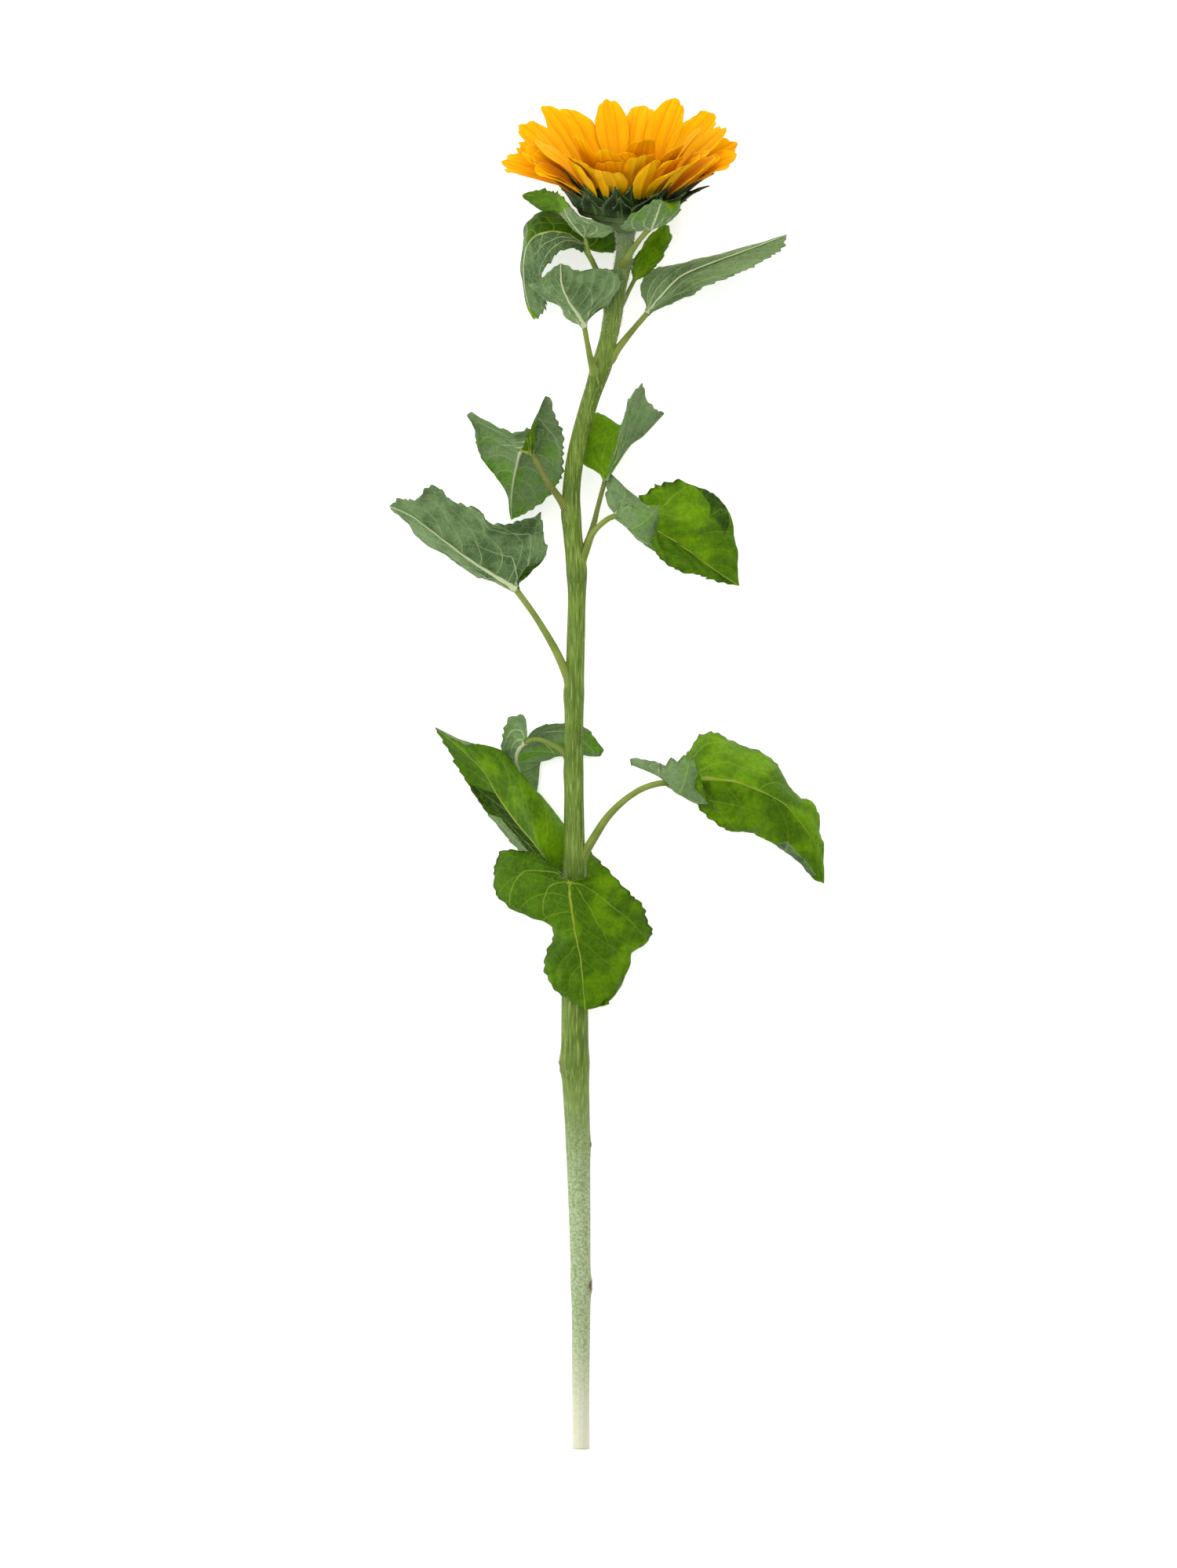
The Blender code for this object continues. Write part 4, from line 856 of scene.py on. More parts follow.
# A leaf's lines are its stalk, its midrib and its margins, which share the midrib's ends. "left" and
# "right" are as the face is seen with the tip ahead. A vein line is given where a half is folded;
# elsewhere it bellies out. The painted light tone is the light and shade painted on a half at foot and
# tip, from 0, painted shade, to 1, painted light shining through it from behind; "relief" is how much
# the blade ripples, "streaks" how brown the stalk is, and "rows" how finely the blade is made.
# "patches" are where a half has one finish on both faces: from and to along it, from how far out, the
# finish (0 for the face's, 1 for the back's) and the painted light and shade, such as a painted fold
# shadow or a painted bright tip.
LEAVES = {
    "leaf_collar_front": {
        "rows": 60, "painted_light_tone": {"left": (0.45, 0.9), "right": (0.45, 0.9)},
        "petiole": [(9.2, 292, 47.6), (12, 297, 60), (16.5, 303.5, 69), (21, 309, 75),
            (25, 313, 79)], "petiole_radius": (2.4, 1.5),
        "midrib": [(25, 313, 79), (27, 317, 86), (29, 322, 92), (31, 327, 98), (34, 325.5, 102),
            (36.5, 321, 103)],
        "left": [(33, 314.5, 79), (38, 319, 83), (41, 325, 87), (39.5, 328.5, 92), (38.5, 326, 99)],
        "right": [(17, 310.5, 79), (9.5, 312, 84), (12, 318, 92), (19, 323, 96), (26, 327, 98),
            (30, 328, 101), (33.5, 325, 103.5)],
        "belly_left": (0, -1, -1), "belly_right": (0, -1, -1),
    },
    "leaf_collar_left": {
        "rows": 70, "painted_light_tone": {"left": (0.3, 0.6), "right": (0.3, 0.5)},
        "patches": [("left", 0.56, 1.0, 0.0, 0, 0.7), ("right", 0.5, 1.0, 0.0, 0, 0.6)],
        "petiole": [(4.5, 270, 47), (-2, 281, 52), (-8, 293, 55), (-11, 302, 56),
            (-12.5, 309, 57)], "petiole_radius": (1.6, 1.1),
        "midrib": [(-12.5, 309, 57), (-16, 312, 61), (-21, 318, 62), (-25, 326, 56), (-30, 331, 47),
            (-38, 332.5, 37), (-49, 333.5, 28)],
        "left": [(-8, 308, 65), (0, 309.5, 75), (4, 312, 80), (0, 315.5, 85), (-9, 316, 83),
            (-18, 321.5, 75), (-25, 330, 62), (-31, 334, 48), (-40, 335.5, 36)],
        "right": [(-16, 310.5, 52), (-21, 315, 49), (-25, 320.5, 45), (-31, 322.5, 38), (-41, 325, 31),
            (-46, 330, 28)],
        "belly_left": (-1, -1, 1), "belly_right": (-1, -1, 1),
    },
    "leaf_top_left": {
        "rows": 90, "painted_light_tone": {"left": (0.1, 0.2), "right": (0.6, 0.2)},
        "patches": [("left", 0.0, 0.95, 0.0, 1, 0.1), ("right", 0.6, 0.93, 0.0, 1, 0.15),
            ("left", 0.95, 1.0, 0.0, 0, 0.9), ("right", 0.93, 1.0, 0.0, 0, 0.9)],
        "petiole": [(3.0, 260, 46.8), (-1.5, 275, 43), (-5, 287, 41), (-9, 296, 41),
            (-14, 304, 42)], "petiole_radius": (2.6, 1.6),
        "midrib": [(-14, 304, 42), (-22, 310, 45), (-32, 311.5, 45), (-41, 309, 41), (-46, 302, 35),
            (-47.5, 289, 27), (-46, 275, 21), (-42, 262, 17)],
        "left": [(-14, 300.5, 46), (-20, 302.5, 51), (-26, 301.5, 53), (-31, 298, 52), (-35, 291, 48),
            (-38, 284, 42), (-38, 277, 36), (-36, 272, 31), (-36.5, 267, 26)],
        "right": [(-6, 300.5, 36), (4, 300, 33), (8, 307, 31), (1, 315, 29), (-12, 319, 29),
            (-25, 321.5, 29), (-35, 323, 28), (-42, 319, 26), (-46.5, 314, 23), (-47.5, 303, 19),
            (-48.5, 292, 16), (-47.5, 280, 14), (-46, 270, 14)],
        "belly_left": (0, 1, -1), "belly_right": (0, 2, 3),
    },
    "leaf_top_front": {
        "rows": 80, "painted_light_tone": {"left": (0.3, 0.35), "right": (0.3, 0.35)}, "relief": 1.3,
        "petiole": [(-5, 228, 44.5), (-8.5, 235, 52), (-11, 246, 58),
            (-13, 257, 62)], "petiole_radius": (2.5, 1.5),
        "midrib": [(-13, 257, 62), (-17, 264, 66), (-22, 271, 69), (-26, 281, 70), (-26.5, 293, 68)],
        "left": [(-10, 262, 62), (-4, 267, 61), (3, 273, 61), (8, 281, 62), (6, 287, 64), (0, 290, 65),
            (-8, 290.5, 67), (-18, 289, 69)],
        "right": [(-17, 258.5, 60), (-25, 263, 56), (-31, 269.5, 55), (-37, 272, 54), (-45, 279.5, 54),
            (-41, 282.5, 58), (-34, 287, 63)],
        "belly_left": (0, 0, -3), "belly_right": (0, 0, 3),
    },
    "leaf_top_right_small": {
        "rows": 56, "painted_light_tone": {"left": (0.95, 0.9), "right": (0.85, 0.9)},
        "petiole": [(3.0, 260, 46.8), (8, 269, 43), (12, 277, 39),
            (16, 285, 36)], "petiole_radius": (2.0, 1.2),
        "midrib": [(16, 285, 36), (21, 293, 34), (26, 303, 33), (31, 311, 33), (33, 317, 34)],
        "left": [(14, 289, 37), (14, 294, 38), (18, 300, 41), (22, 307, 41), (28, 313, 38)],
        "right": [(20, 286, 33), (28, 294, 28), (34, 302, 26), (36.5, 308, 26), (35.5, 313, 29)],
        "belly_left": (0, 0, 1), "belly_right": (0, 0, 3),
    },
    "leaf_top_right": {
        "rows": 100, "painted_light_tone": {"left": (0.35, 0.5), "right": (0.35, 0.4)}, "relief": 0.6,
        "petiole": [(-1.0, 236, 45.2), (6, 244.5, 45), (14, 254.5, 43),
            (23, 265, 41)], "petiole_radius": (2.6, 1.6),
        "midrib": [(23, 265, 41), (33, 277, 40), (43, 286.5, 38), (60, 294, 34), (80, 301.5, 27),
            (103.5, 311, 18)],
        "left": [(30, 267.5, 46), (40, 271.5, 53), (49, 274, 56), (56, 280, 56), (70, 286, 51),
            (80, 290, 45), (92, 296.5, 35), (99, 302, 27)],
        "right": [(22.5, 270, 39), (19.5, 279, 34), (22, 286, 29), (28, 290, 24), (40, 293, 18),
            (57, 297.5, 12), (70, 301, 9), (85, 305.5, 9)],
        "belly_left": (0, 2, -6), "belly_right": (0, 2, 3),
    },
    "leaf_middle_left": {
        "rows": 110, "painted_light_tone": {"left": (0.3, 0.9), "right": (0.3, 0.9)}, "streaks": 1.0,
        "patches": [("left", 0.9, 1.0, 0.0, 0, 0.95)],
        "petiole": [(-20.5, 150, 39.5), (-28, 160, 45), (-35, 170, 50),
            (-42, 183, 52)], "petiole_radius": (2.6, 1.6),
        "midrib": [(-42.5, 184, 52), (-49, 185.5, 50), (-52, 177, 41), (-54, 167, 32), (-55, 157, 24),
            (-55, 147, 17)],
        "left": [(-38.5, 189, 50), (-36.5, 198, 51), (-45, 197, 54), (-55, 195, 58), (-66, 203, 59),
            (-79, 207, 54), (-76, 198, 46), (-75, 190, 40), (-70, 179, 31), (-62, 170, 24),
            (-57, 161, 18), (-56, 152, 16)],
        "right": [(-41, 192, 58), (-39, 203, 63), (-34, 216, 64), (-30, 207, 56), (-26.5, 196, 47),
            (-25.5, 182, 38), (-27, 171, 30), (-34, 161, 22), (-44, 153, 17)],
        "belly_left": (0, 0, -5), "belly_right": (0, 0, -5),
    },
    "leaf_middle_right_high": {
        "rows": 90, "painted_light_tone": {"left": (0.95, 0.85), "right": (0.95, 0.3)}, "streaks": 1.0,
        "petiole": [(-17.6, 120, 37.6), (-12, 132, 36), (-8, 143, 35), (-5, 155, 35),
            (-1.5, 168, 36)], "petiole_radius": (2.4, 1.4),
        "midrib": [(-1, 169, 36), (5, 178, 40), (13, 189.5, 42), (20, 194.5, 42), (26, 200.5, 40),
            (33, 208, 36)],
        "left": [(-6, 176, 32), (-11, 178, 29), (-16, 183, 27), (-17, 193, 26), (-13, 203, 25),
            (-6, 207.5, 25), (1, 206, 26), (9, 201, 29), (18, 203, 32), (26, 206, 34)],
        "right": [(2, 180, 45), (5, 192, 55), (9, 203, 62), (14, 217, 66), (19.5, 223, 64),
            (23.5, 215, 55), (28, 209.5, 45)],
        "belly_left": (0, 0, 2), "belly_right": (1, -1, 2),
    },
    "leaf_middle_right": {
        "rows": 120, "painted_light_tone": {"left": (0.8, 0.75), "right": (0.6, 0.5)}, "relief": 1.5,
        "patches": [("left", 0.0, 0.26, 0.0, 1, 0.35), ("left", 0.58, 0.72, 0.55, 0, 0.3)],
        "petiole": [(-17.5, 114, 37.2), (-12, 129, 43), (-8, 139, 50), (-1, 146, 55),
            (5, 149, 57)], "petiole_radius": (2.6, 1.6),
        "midrib": [(5, 149, 57), (13, 149, 58), (22, 144, 54), (33, 138, 47), (48, 128, 37),
            (62, 118, 27), (76, 109, 17)],
        "left": [(0, 156, 54), (1, 166, 50), (5, 173, 47), (8, 164, 42), (11, 156, 39), (18, 153, 36),
            (22, 161, 32), (29, 166.5, 30), (40, 168.5, 28), (50, 165.5, 28), (62, 161, 26),
            (70, 152, 24), (73, 144, 22), (73, 134, 20), (73, 122, 18)],
        "right": [(8, 154, 65), (18, 153.5, 69), (27, 152, 69), (29, 146, 66), (27, 138, 62),
            (26.5, 131, 56), (32, 123.5, 47), (42, 117.5, 38), (52, 115.5, 31), (64, 112, 23)],
        "left_vein": [(6, 155, 54), (12, 155, 50), (24, 152, 45), (40, 151, 41), (55, 149, 36),
            (66, 140, 27)],
        "right_vein": [(8, 145.5, 61), (14, 139.5, 62), (21, 133, 57), (28, 128, 50), (40, 124.5, 41),
            (55, 119.5, 30), (68, 113.5, 21)],
    },
    "leaf_large_left": {
        "rows": 140, "painted_light_tone": {"left": (0.12, 0.4), "right": (0.12, 0.4)}, "relief": 1.4,
        "petiole": [(-18.6, 46, 32.8), (-24, 60, 35), (-29.5, 72, 37), (-37, 85, 38), (-43.5, 95, 38),
            (-52, 106.5, 37)], "petiole_radius": (2.9, 1.8),
        "midrib": [(-52, 107, 37), (-60, 112, 37), (-79, 124, 36), (-100, 140, 33), (-112, 149, 29),
            (-125, 155, 25)],
        "left": [(-50.5, 114, 38), (-47, 120, 40), (-40, 125, 43), (-36, 135, 46), (-35.5, 143, 48),
            (-38, 151, 50), (-46, 147.5, 52), (-56, 145, 54), (-68, 144.5, 55), (-74, 150, 56),
            (-88, 157, 54), (-100, 165, 50), (-111, 158.5, 41), (-118, 158, 33)],
        "right": [(-57, 106, 27), (-68, 113, 15), (-80, 119.5, 5), (-92, 127, 0), (-104, 135, -1),
            (-115, 143, 3), (-121, 149.5, 12)],
        "belly_left": (3, -2, -9), "belly_right": (-2, -1, 2),
    },
    "leaf_low_left_small": {
        "rows": 80, "painted_light_tone": {"left": (0.4, 0.4), "right": (0.4, 0.6)},
        "patches": [("left", 0.0, 1.0, 0.0, 1, 0.5), ("right", 0.0, 1.0, 0.0, 1, 0.5),
            ("right", 0.38, 0.5, 0.0, 1, 0.9)],
        "petiole": [(-18.9, 2, 30), (-24.5, 13, 25), (-33, 18.5, 23), (-41, 21, 23),
            (-47, 19, 23)], "petiole_radius": (2.3, 1.4),
        "midrib": [(-47, 19, 23), (-51, 14, 20), (-52, 8, 17), (-49, 0, 13), (-45, -7, 9), (-41, -13, 5)],
        "left": [(-46, 26, 26), (-48, 34, 26), (-56, 31.5, 22), (-59, 22, 17), (-60, 14, 12), (-57, 6, 8),
            (-52, -3, 5), (-47, -10, 3)],
        "right": [(-42, 27, 25), (-34, 29.5, 19), (-22, 29.5, 13), (-12, 27, 9), (-3, 14, 4),
            (-12, 12, 3), (-24, 13, 3), (-36, 15, 5), (-38.5, 6, 6), (-39.5, -4, 5)],
        "belly_left": (0, 0, -3), "belly_right": (2, 2, -2),
    },
    "leaf_low_left": {
        "rows": 130, "painted_light_tone": {"left": (0.45, 0.4), "right": (0.85, 0.6)}, "relief": 0.35,
        "patches": [("left", 0.0, 0.66, 0.0, 0, 0.0), ("left", 0.08, 0.5, 0.62, 1, 0.5)],
        "petiole": [(-18.6, -78, 24.6), (-23, -69, 21), (-27, -59, 20)], "petiole_radius": (2.6, 1.6),
        "midrib": [(-27, -58, 20), (-40, -40, 17), (-52, -26, 14), (-62, -12, 13), (-70, 2, 14),
            (-83, 15, 16), (-99, 28, 18)],
        "left": [(-34, -53, 13), (-42, -48, 8), (-51, -42, 4), (-61, -31, 1), (-70, -20, 0), (-79, -6, 1),
            (-87, 7, 4), (-93, 18, 10)],
        "right": [(-18, -60, 11), (-8, -56, 6), (-5.5, -50, 4), (-10, -43, 4), (-18, -34, 6),
            (-24, -28, 9), (-31, -20, 13), (-39, -13.5, 18), (-48, -4, 24), (-54, 7, 26), (-61, 14.5, 25),
            (-74, 17.5, 23), (-85, 20, 21)],
        "right_vein": [(-30, -52, 22), (-34, -42, 26), (-41, -21, 31), (-48.5, -4, 32), (-58, 7, 28),
            (-78, 17, 21)],
        "belly_left": (0, 0, -2),
    },
    "leaf_large_right": {
        "rows": 150, "painted_light_tone": {"left": (0.85, 0.75), "right": (0.65, 0.7)}, "relief": 1.4,
        "patches": [("left", 0.0, 0.23, 0.3, 1, 0.4), ("right", 0.74, 0.95, 0.72, 1, 0.1)],
        "petiole": [(-18.6, -54, 26.4), (-9, -38, 31), (0, -24, 37), (10, -14, 42), (20, -7.5, 46),
            (29, -4.5, 47), (35, -4, 47)], "petiole_radius": (2.9, 1.8),
        "midrib": [(35, -4, 47), (50, -1.5, 47), (70, -2.5, 42), (86, -8, 34), (100, -15, 25),
            (112, -28, 16), (120, -44, 7), (125, -62, 1)],
        "left": [(27, 2, 40), (13, 8, 30), (28, 5.5, 24), (42, 8, 24), (46, 16, 22), (55, 23.5, 19),
            (70, 21.5, 16), (84, 16, 13), (97, 8, 10), (104, -4, 8), (111, -13, 6), (117, -16, 4),
            (122, -27, 2), (124.5, -38, 0), (125, -50, -1)],
        "right": [(31, 3, 55), (38, 7, 61), (46, 9.5, 64), (51, 3, 63), (51, -6, 59), (52.5, -17, 50),
            (61, -25.5, 41), (72, -32, 32), (81, -34.5, 25), (90, -37, 18), (99, -42, 10), (109, -50, 3),
            (118, -58.5, 0)],
        "right_vein": [(37, -7.5, 53), (42, -11, 56), (49, -14.5, 53), (58, -17, 46), (72, -20, 37),
            (88, -24, 27), (102, -32, 17), (114, -45, 8)],
        "belly_left": (0, 0, 4),
    },
    "leaf_low_front": {
        "rows": 140, "painted_light_tone": {"left": (0.75, 0.6), "right": (0.35, 0.6)}, "relief": 1.5,
        "petiole": [(-18.5, -92, 24), (-18.3, -82, 34), (-20, -71, 42),
            (-22.5, -62, 45)], "petiole_radius": (2.7, 1.7),
        "midrib": [(-22.5, -61.5, 45), (-22, -68, 48), (-20, -80, 49), (-18, -92, 47), (-15.5, -104, 44),
            (-14, -117, 40), (-12.5, -134.5, 34)],
        "left": [(-14, -57, 46), (-4, -51, 43), (5, -60, 39), (14, -68.5, 35), (20, -74.5, 30),
            (24, -84, 25), (28, -93, 20), (21.5, -97, 18), (17.5, -93, 21), (13.5, -98, 25),
            (11.5, -106, 28), (10.5, -120, 29), (4, -128.5, 31), (-4, -132, 33)],
        "right": [(-28, -57.5, 44), (-34, -48, 42), (-40, -43.5, 41), (-60, -43, 34), (-65.5, -50, 30),
            (-66.5, -60, 27), (-64, -72, 26), (-57, -75, 28), (-49, -79, 30), (-38, -76, 35),
            (-33, -84, 36), (-31, -93, 35), (-35, -103, 32), (-35.5, -111, 31), (-30, -121, 31),
            (-23, -126.5, 32)],
        "left_vein": [(-12, -61, 43), (-5, -72, 38), (1, -86, 35), (5, -100, 34), (5, -114, 34),
            (-2, -127, 34)],
        "belly_right": (0, 0, 3),
    },
}


def leaf_veins():
    """Where a leaf's veins run. Veins holds the mm from the midrib, the mm from the long side vein and
    the count of small side veins passed; Place holds how far along and across the blade a point is."""
    group, given, put = value_group(
        "leaf_veins", {"Veins": "Vector", "Place": "Vector", "Spot": "Vector"},
        {"Main": "Float", "Side": "Float", "Net": "Float", "Puff": "Float"},
    )
    from_vein, place = parts_of(group, given["Veins"]), parts_of(group, given["Place"])
    wide = spread(group, place["X"], 0.0, 1.0, 1.15, 0.4)
    mid, long = (
        math_node(group, "DIVIDE", math_node(group, "ABSOLUTE", from_vein[axis]), wide) for axis in "XY"
    )
    fading = spread(group, place["X"], 0.3, 0.75, 1.0, 0.0)
    second = product(group, spread(group, long, 0.2, 0.62, 0.55, 0.0), fading)
    beat = math_node(group, "PINGPONG", from_vein["Z"], 0.5)
    thin = spread(group, math_node(group, "ABSOLUTE", place["Y"]), 0.1, 0.95, 0.85, 0.35)
    warp = node(group, "TexNoise", {"Vector": given["Spot"], "Scale": 150.0, "Detail": 1.0})
    warp = node(group, "VectorMath", {0: warp.outputs["Color"], "Scale": 0.003}, operation="SCALE")
    bent = node(group, "VectorMath", {0: given["Spot"], 1: warp.outputs[0]}, operation="ADD").outputs[0]
    cells, small = (
        node(group, "TexVoronoi", {"Vector": bent, "Scale": scale}, feature="DISTANCE_TO_EDGE").outputs[0]
        for scale in (210.0, 620.0)
    )
    net = spread(group, cells, 0.0, 0.07, 0.8, 0.0), spread(group, small, 0.0, 0.07, 0.35, 0.0)
    puff = spread(group, cells, 0.0, 0.35), spread(group, small, 0.0, 0.4, 0.0, 0.4)
    set_inputs(group, put, {
        "Main": math_node(group, "MAXIMUM", spread(group, mid, 0.45, 1.0, 1.0, 0.0), second),
        "Side": product(group, spread(group, beat, 0.01, 0.045, 1.0, 0.0), thin),
        "Net": math_node(group, "ADD", *net),
        "Puff": math_node(group, "ADD", *puff),
    })
    return group


vein_lines = leaf_veins()


def leaf_green(name, shaded_to_lit, vein, side_vein, relief, rough, shine, glow_colour, glow):
    """A face of a leaf: greens from painted shade to bright painted light shining through from behind,
    paler veins, puffed between them, some light through.
    """
    made, tree = own_material(name)
    veins, place, spot = attribute(tree, "veins"), attribute(tree, "place"), own_space(tree)
    lines = use_group(tree, vein_lines, {"Veins": veins, "Place": place, "Spot": spot})
    slow, speckle = growth_on(tree, spot, 55.0, 420.0)
    # How lit the leaf is painted here, from painted shade to painted light through it, varied a little at
    # random.
    painted_light_tone = parts_of(tree, place)["Z"]
    painted_light_tone = math_node(tree, "ADD", painted_light_tone, spread(tree, slow, 0.0, 1.0, -0.18, 0.18))
    skin = layered(
        tree, colour(*shaded_to_lit[0]),
        (spread(tree, painted_light_tone, 0.0, 0.5), shaded_to_lit[1]),
        (spread(tree, painted_light_tone, 0.5, 1.0), shaded_to_lit[2]),
        (spread(tree, speckle, 0.0, 1.0, 0.0, 0.22), shaded_to_lit[0]),
        (product(tree, lines["Net"], 0.34), side_vein),
        (lines["Side"], side_vein),
        (lines["Main"], vein),
    )
    ridges = product(tree, math_node(tree, "MAXIMUM", lines["Side"], lines["Main"]), relief)
    height = math_node(tree, "ADD", product(tree, lines["Puff"], 0.5), ridges)
    lit = layered(tree, skin, (0.55, glow_colour))
    rough = spread(tree, speckle, 0.0, 1.0, *rough)
    surface(tree, skin, rough, (0.55, 0.0006, height), shine, (glow, lit))
    return made


def stalk_green():
    """A leaf's stalk: olive with paler ribs and faint purple-brown streaks where the sun reached it."""
    made, tree = own_material("leaf_stalk")
    slow, speckle = growth_on(tree, own_space(tree), 90.0, 900.0)
    place = parts_of(tree, attribute(tree, "place"))
    ribs = math_node(tree, "PINGPONG", product(tree, place["Y"], 2.5), 0.5)
    skin = layered(
        tree, blend_colours(tree, slow, colour(96, 122, 30), colour(128, 148, 54)),
        (spread(tree, ribs, 0.1, 0.45, 0.0, 0.5), (156, 172, 90)),
        (product(tree, spread(tree, ribs, 0.3, 0.05), place["Z"]), (88, 52, 36)),
    )
    surface(tree, skin, spread(tree, speckle, 0.0, 1.0, 0.45, 0.65), (0.4, 0.0003, ribs), 0.25)
    return made


# Each face's three greens: painted shade, the middle green, and a bright painted light shining through from
# behind.
leaf_face = leaf_green(
    "leaf_face", ((30, 58, 2), (78, 120, 6), (122, 172, 0)), (166, 186, 66), (122, 160, 18),
    -0.7, (0.5, 0.68), 0.12, (96, 168, 0), 0.25,
)
leaf_back = leaf_green(
    "leaf_back", ((76, 104, 60), (122, 150, 98), (104, 156, 28)), (206, 218, 170), (164, 186, 122),
    1.0, (0.66, 0.82), 0.15, (84, 150, 20), 0.12,
)
stalk_skin = stalk_green()


def teeth(arc, seed):
    """The height of a leaf's teeth along its margin, leaning towards the tip, for each mm of arc."""
    pick = random.Random(seed)
    starts, heights = [0.0], []
    while starts[-1] <= arc[-1]:
        starts.append(starts[-1] + TOOTH_SPACING * pick.uniform(0.55, 1.5))
        heights.append(TOOTH_DEPTH * pick.uniform(0.35, 1.15))
    i = np.searchsorted(starts, arc, side="right") - 1
    t = (arc - np.array(starts)[i]) / np.diff(starts)[i]
    return np.where(t < 0.75, t / 0.75, (1 - t) / 0.25) * np.array(heights)[i]


def between_ends(leaf, line):
    """A margin or a vein line with the ends that it shares with the midrib."""
    return [leaf["midrib"][0], *leaf[line], leaf["midrib"][-1]]


def blade_sheet(leaf, seed):
    """A leaf's middle surface, rows x columns in mm, and its vein and place fields."""
    rows = leaf["rows"]
    along = np.linspace(0.0, 1.0, rows + 1)[1:]
    x = np.linspace(-1.0, 1.0, 2 * LEAF_HALF_COLUMNS + 1)
    middle = curve_points(leaf["midrib"], along ** MIDRIB_LAG)
    sheet = np.zeros((rows, len(x), 3))
    veins = np.zeros_like(sheet)
    place = np.zeros_like(sheet)
    length = np.linalg.norm(np.diff(middle, axis=0), axis=1).sum()
    for side, columns in (("left", x < 0), ("right", x >= 0)):
        edge = curve_points(between_ends(leaf, side), along)
        if side + "_vein" in leaf:
            between = curve_points(between_ends(leaf, side + "_vein"), along)
        else:
            belly = np.array(leaf["belly_" + side], float)
            between = (middle + edge) / 2 + belly * np.sin(math.pi * along)[:, None]
        arc = np.concatenate([[0.0], np.cumsum(np.linalg.norm(np.diff(edge, axis=0), axis=1))])
        wide = np.linalg.norm(between - middle, axis=1) + np.linalg.norm(edge - between, axis=1)
        toothed = smooth_step(0.04, 0.12, along) * smooth_step(1.0, 0.96, along)
        offset = teeth(arc, seed + len(side)) * toothed
        v = np.abs(x[columns])[None, :] ** 1.2
        v = v * (1.0 + (offset / np.maximum(wide, 4.0))[:, None] * v ** 4)
        v3 = v[:, :, None]
        sheet[:, columns] = (
            middle[:, None] * (1 - v3) * (1 - 2 * v3) + between[:, None] * 4 * v3 * (1 - v3)
            + edge[:, None] * v3 * (2 * v3 - 1)
        )
        sweep = np.clip(VEIN_SWEEP * wide.max() / length, 0.06, 0.3)
        phase = SIDE_VEINS * (along[:, None] - sweep * v ** 1.2) + (0.5 if side == "left" else 0.0)
        veins[:, columns, 0] = v * wide[:, None]
        first, second = (v - start * along[:, None] ** 0.6 for start in LONG_VEINS)
        veins[:, columns, 1] = np.where(np.abs(first) < np.abs(second), first, second) * wide[:, None]
        veins[:, columns, 2] = phase
        place[:, columns, 0] = along[:, None]
        place[:, columns, 1] = v
        # The light and shade painted on this half, from its foot to its tip.
        foot_light_tone, tip_light_tone = leaf["painted_light_tone"][side]
        place[:, columns, 2] = foot_light_tone + (tip_light_tone - foot_light_tone) * along[:, None]
        facing = unit(np.cross(np.gradient(sheet, axis=1), np.gradient(sheet, axis=0)))[:, columns]
        firm = np.minimum(wide / 20.0, 1.0)[:, None] * smooth_step(1.0, 0.9, along)[:, None]
        puff = (0.5 - 0.5 * np.cos(2 * math.pi * phase)) * np.sqrt(np.clip(v * (1 - v) * 4, 0.0, 1.0))
        ripple = wander(seed + 5, arc, 9.0)[:, None] * v ** 3 * 1.5
        roll = wander(seed + 9 + len(side), arc, 26.0)[:, None] * v ** 2 * 1.6
        hollow = -0.5 * np.exp(-(first * wide[:, None] / 2.2) ** 2)
        hollow = hollow * smooth_step(0.8, 0.3, along)[:, None]
        firm = firm * leaf.get("relief", 1.0)
        sheet[:, columns] += facing * ((0.75 * puff + ripple + roll + hollow) * firm)[:, :, None]
    # Patches of painted light and shade, such as a painted fold shadow or a painted bright tip.
    for side, start, stop, out, _, painted_light_tone in leaf.get("patches", []):
        outward = (-x if side == "left" else x)[None, :] > out
        place[((along > start) & (along < stop))[:, None] & outward, 2] = painted_light_tone
    return settled(sheet, LEAF_THICKNESS / 2 + TABLE_GAP), veins, place


def stalk_rings(leaf, first_up, around):
    """Round sections of a leaf's stalk from inside the stem to the blade, flared at its foot."""
    wide, narrow = leaf["petiole_radius"]
    share = np.linspace(0.0, 0.985, STALK_ROWS)
    centres = curve_points(leaf["petiole"], share)
    ahead, _, ups = frames_along(centres[::-1], first_up)
    ahead, ups = -ahead[::-1], ups[::-1]
    left = np.cross(ups, ahead)
    out = np.linalg.norm(centres - centres[0], axis=1)
    radius = wide + (narrow - wide) * np.minimum(share * 1.4, 1.0)
    radius += 1.3 * np.exp(-((out - 4.0) / 4.5) ** 2)
    turn = np.arange(around) * 2 * math.pi / around
    groove = 1.0 - 0.16 * np.exp(-((turn - math.pi / 2) / 0.45) ** 2)
    spokes = left[:, None] * np.cos(turn)[None, :, None] + ups[:, None] * np.sin(turn)[None, :, None]
    rings = centres[:, None] + spokes * (radius[:, None] * groove[None, :])[:, :, None]
    place = np.zeros_like(rings)
    place[:, :, 1] = turn[None, :]
    place[:, :, 2] = leaf.get("streaks", 0.25)
    return rings, place


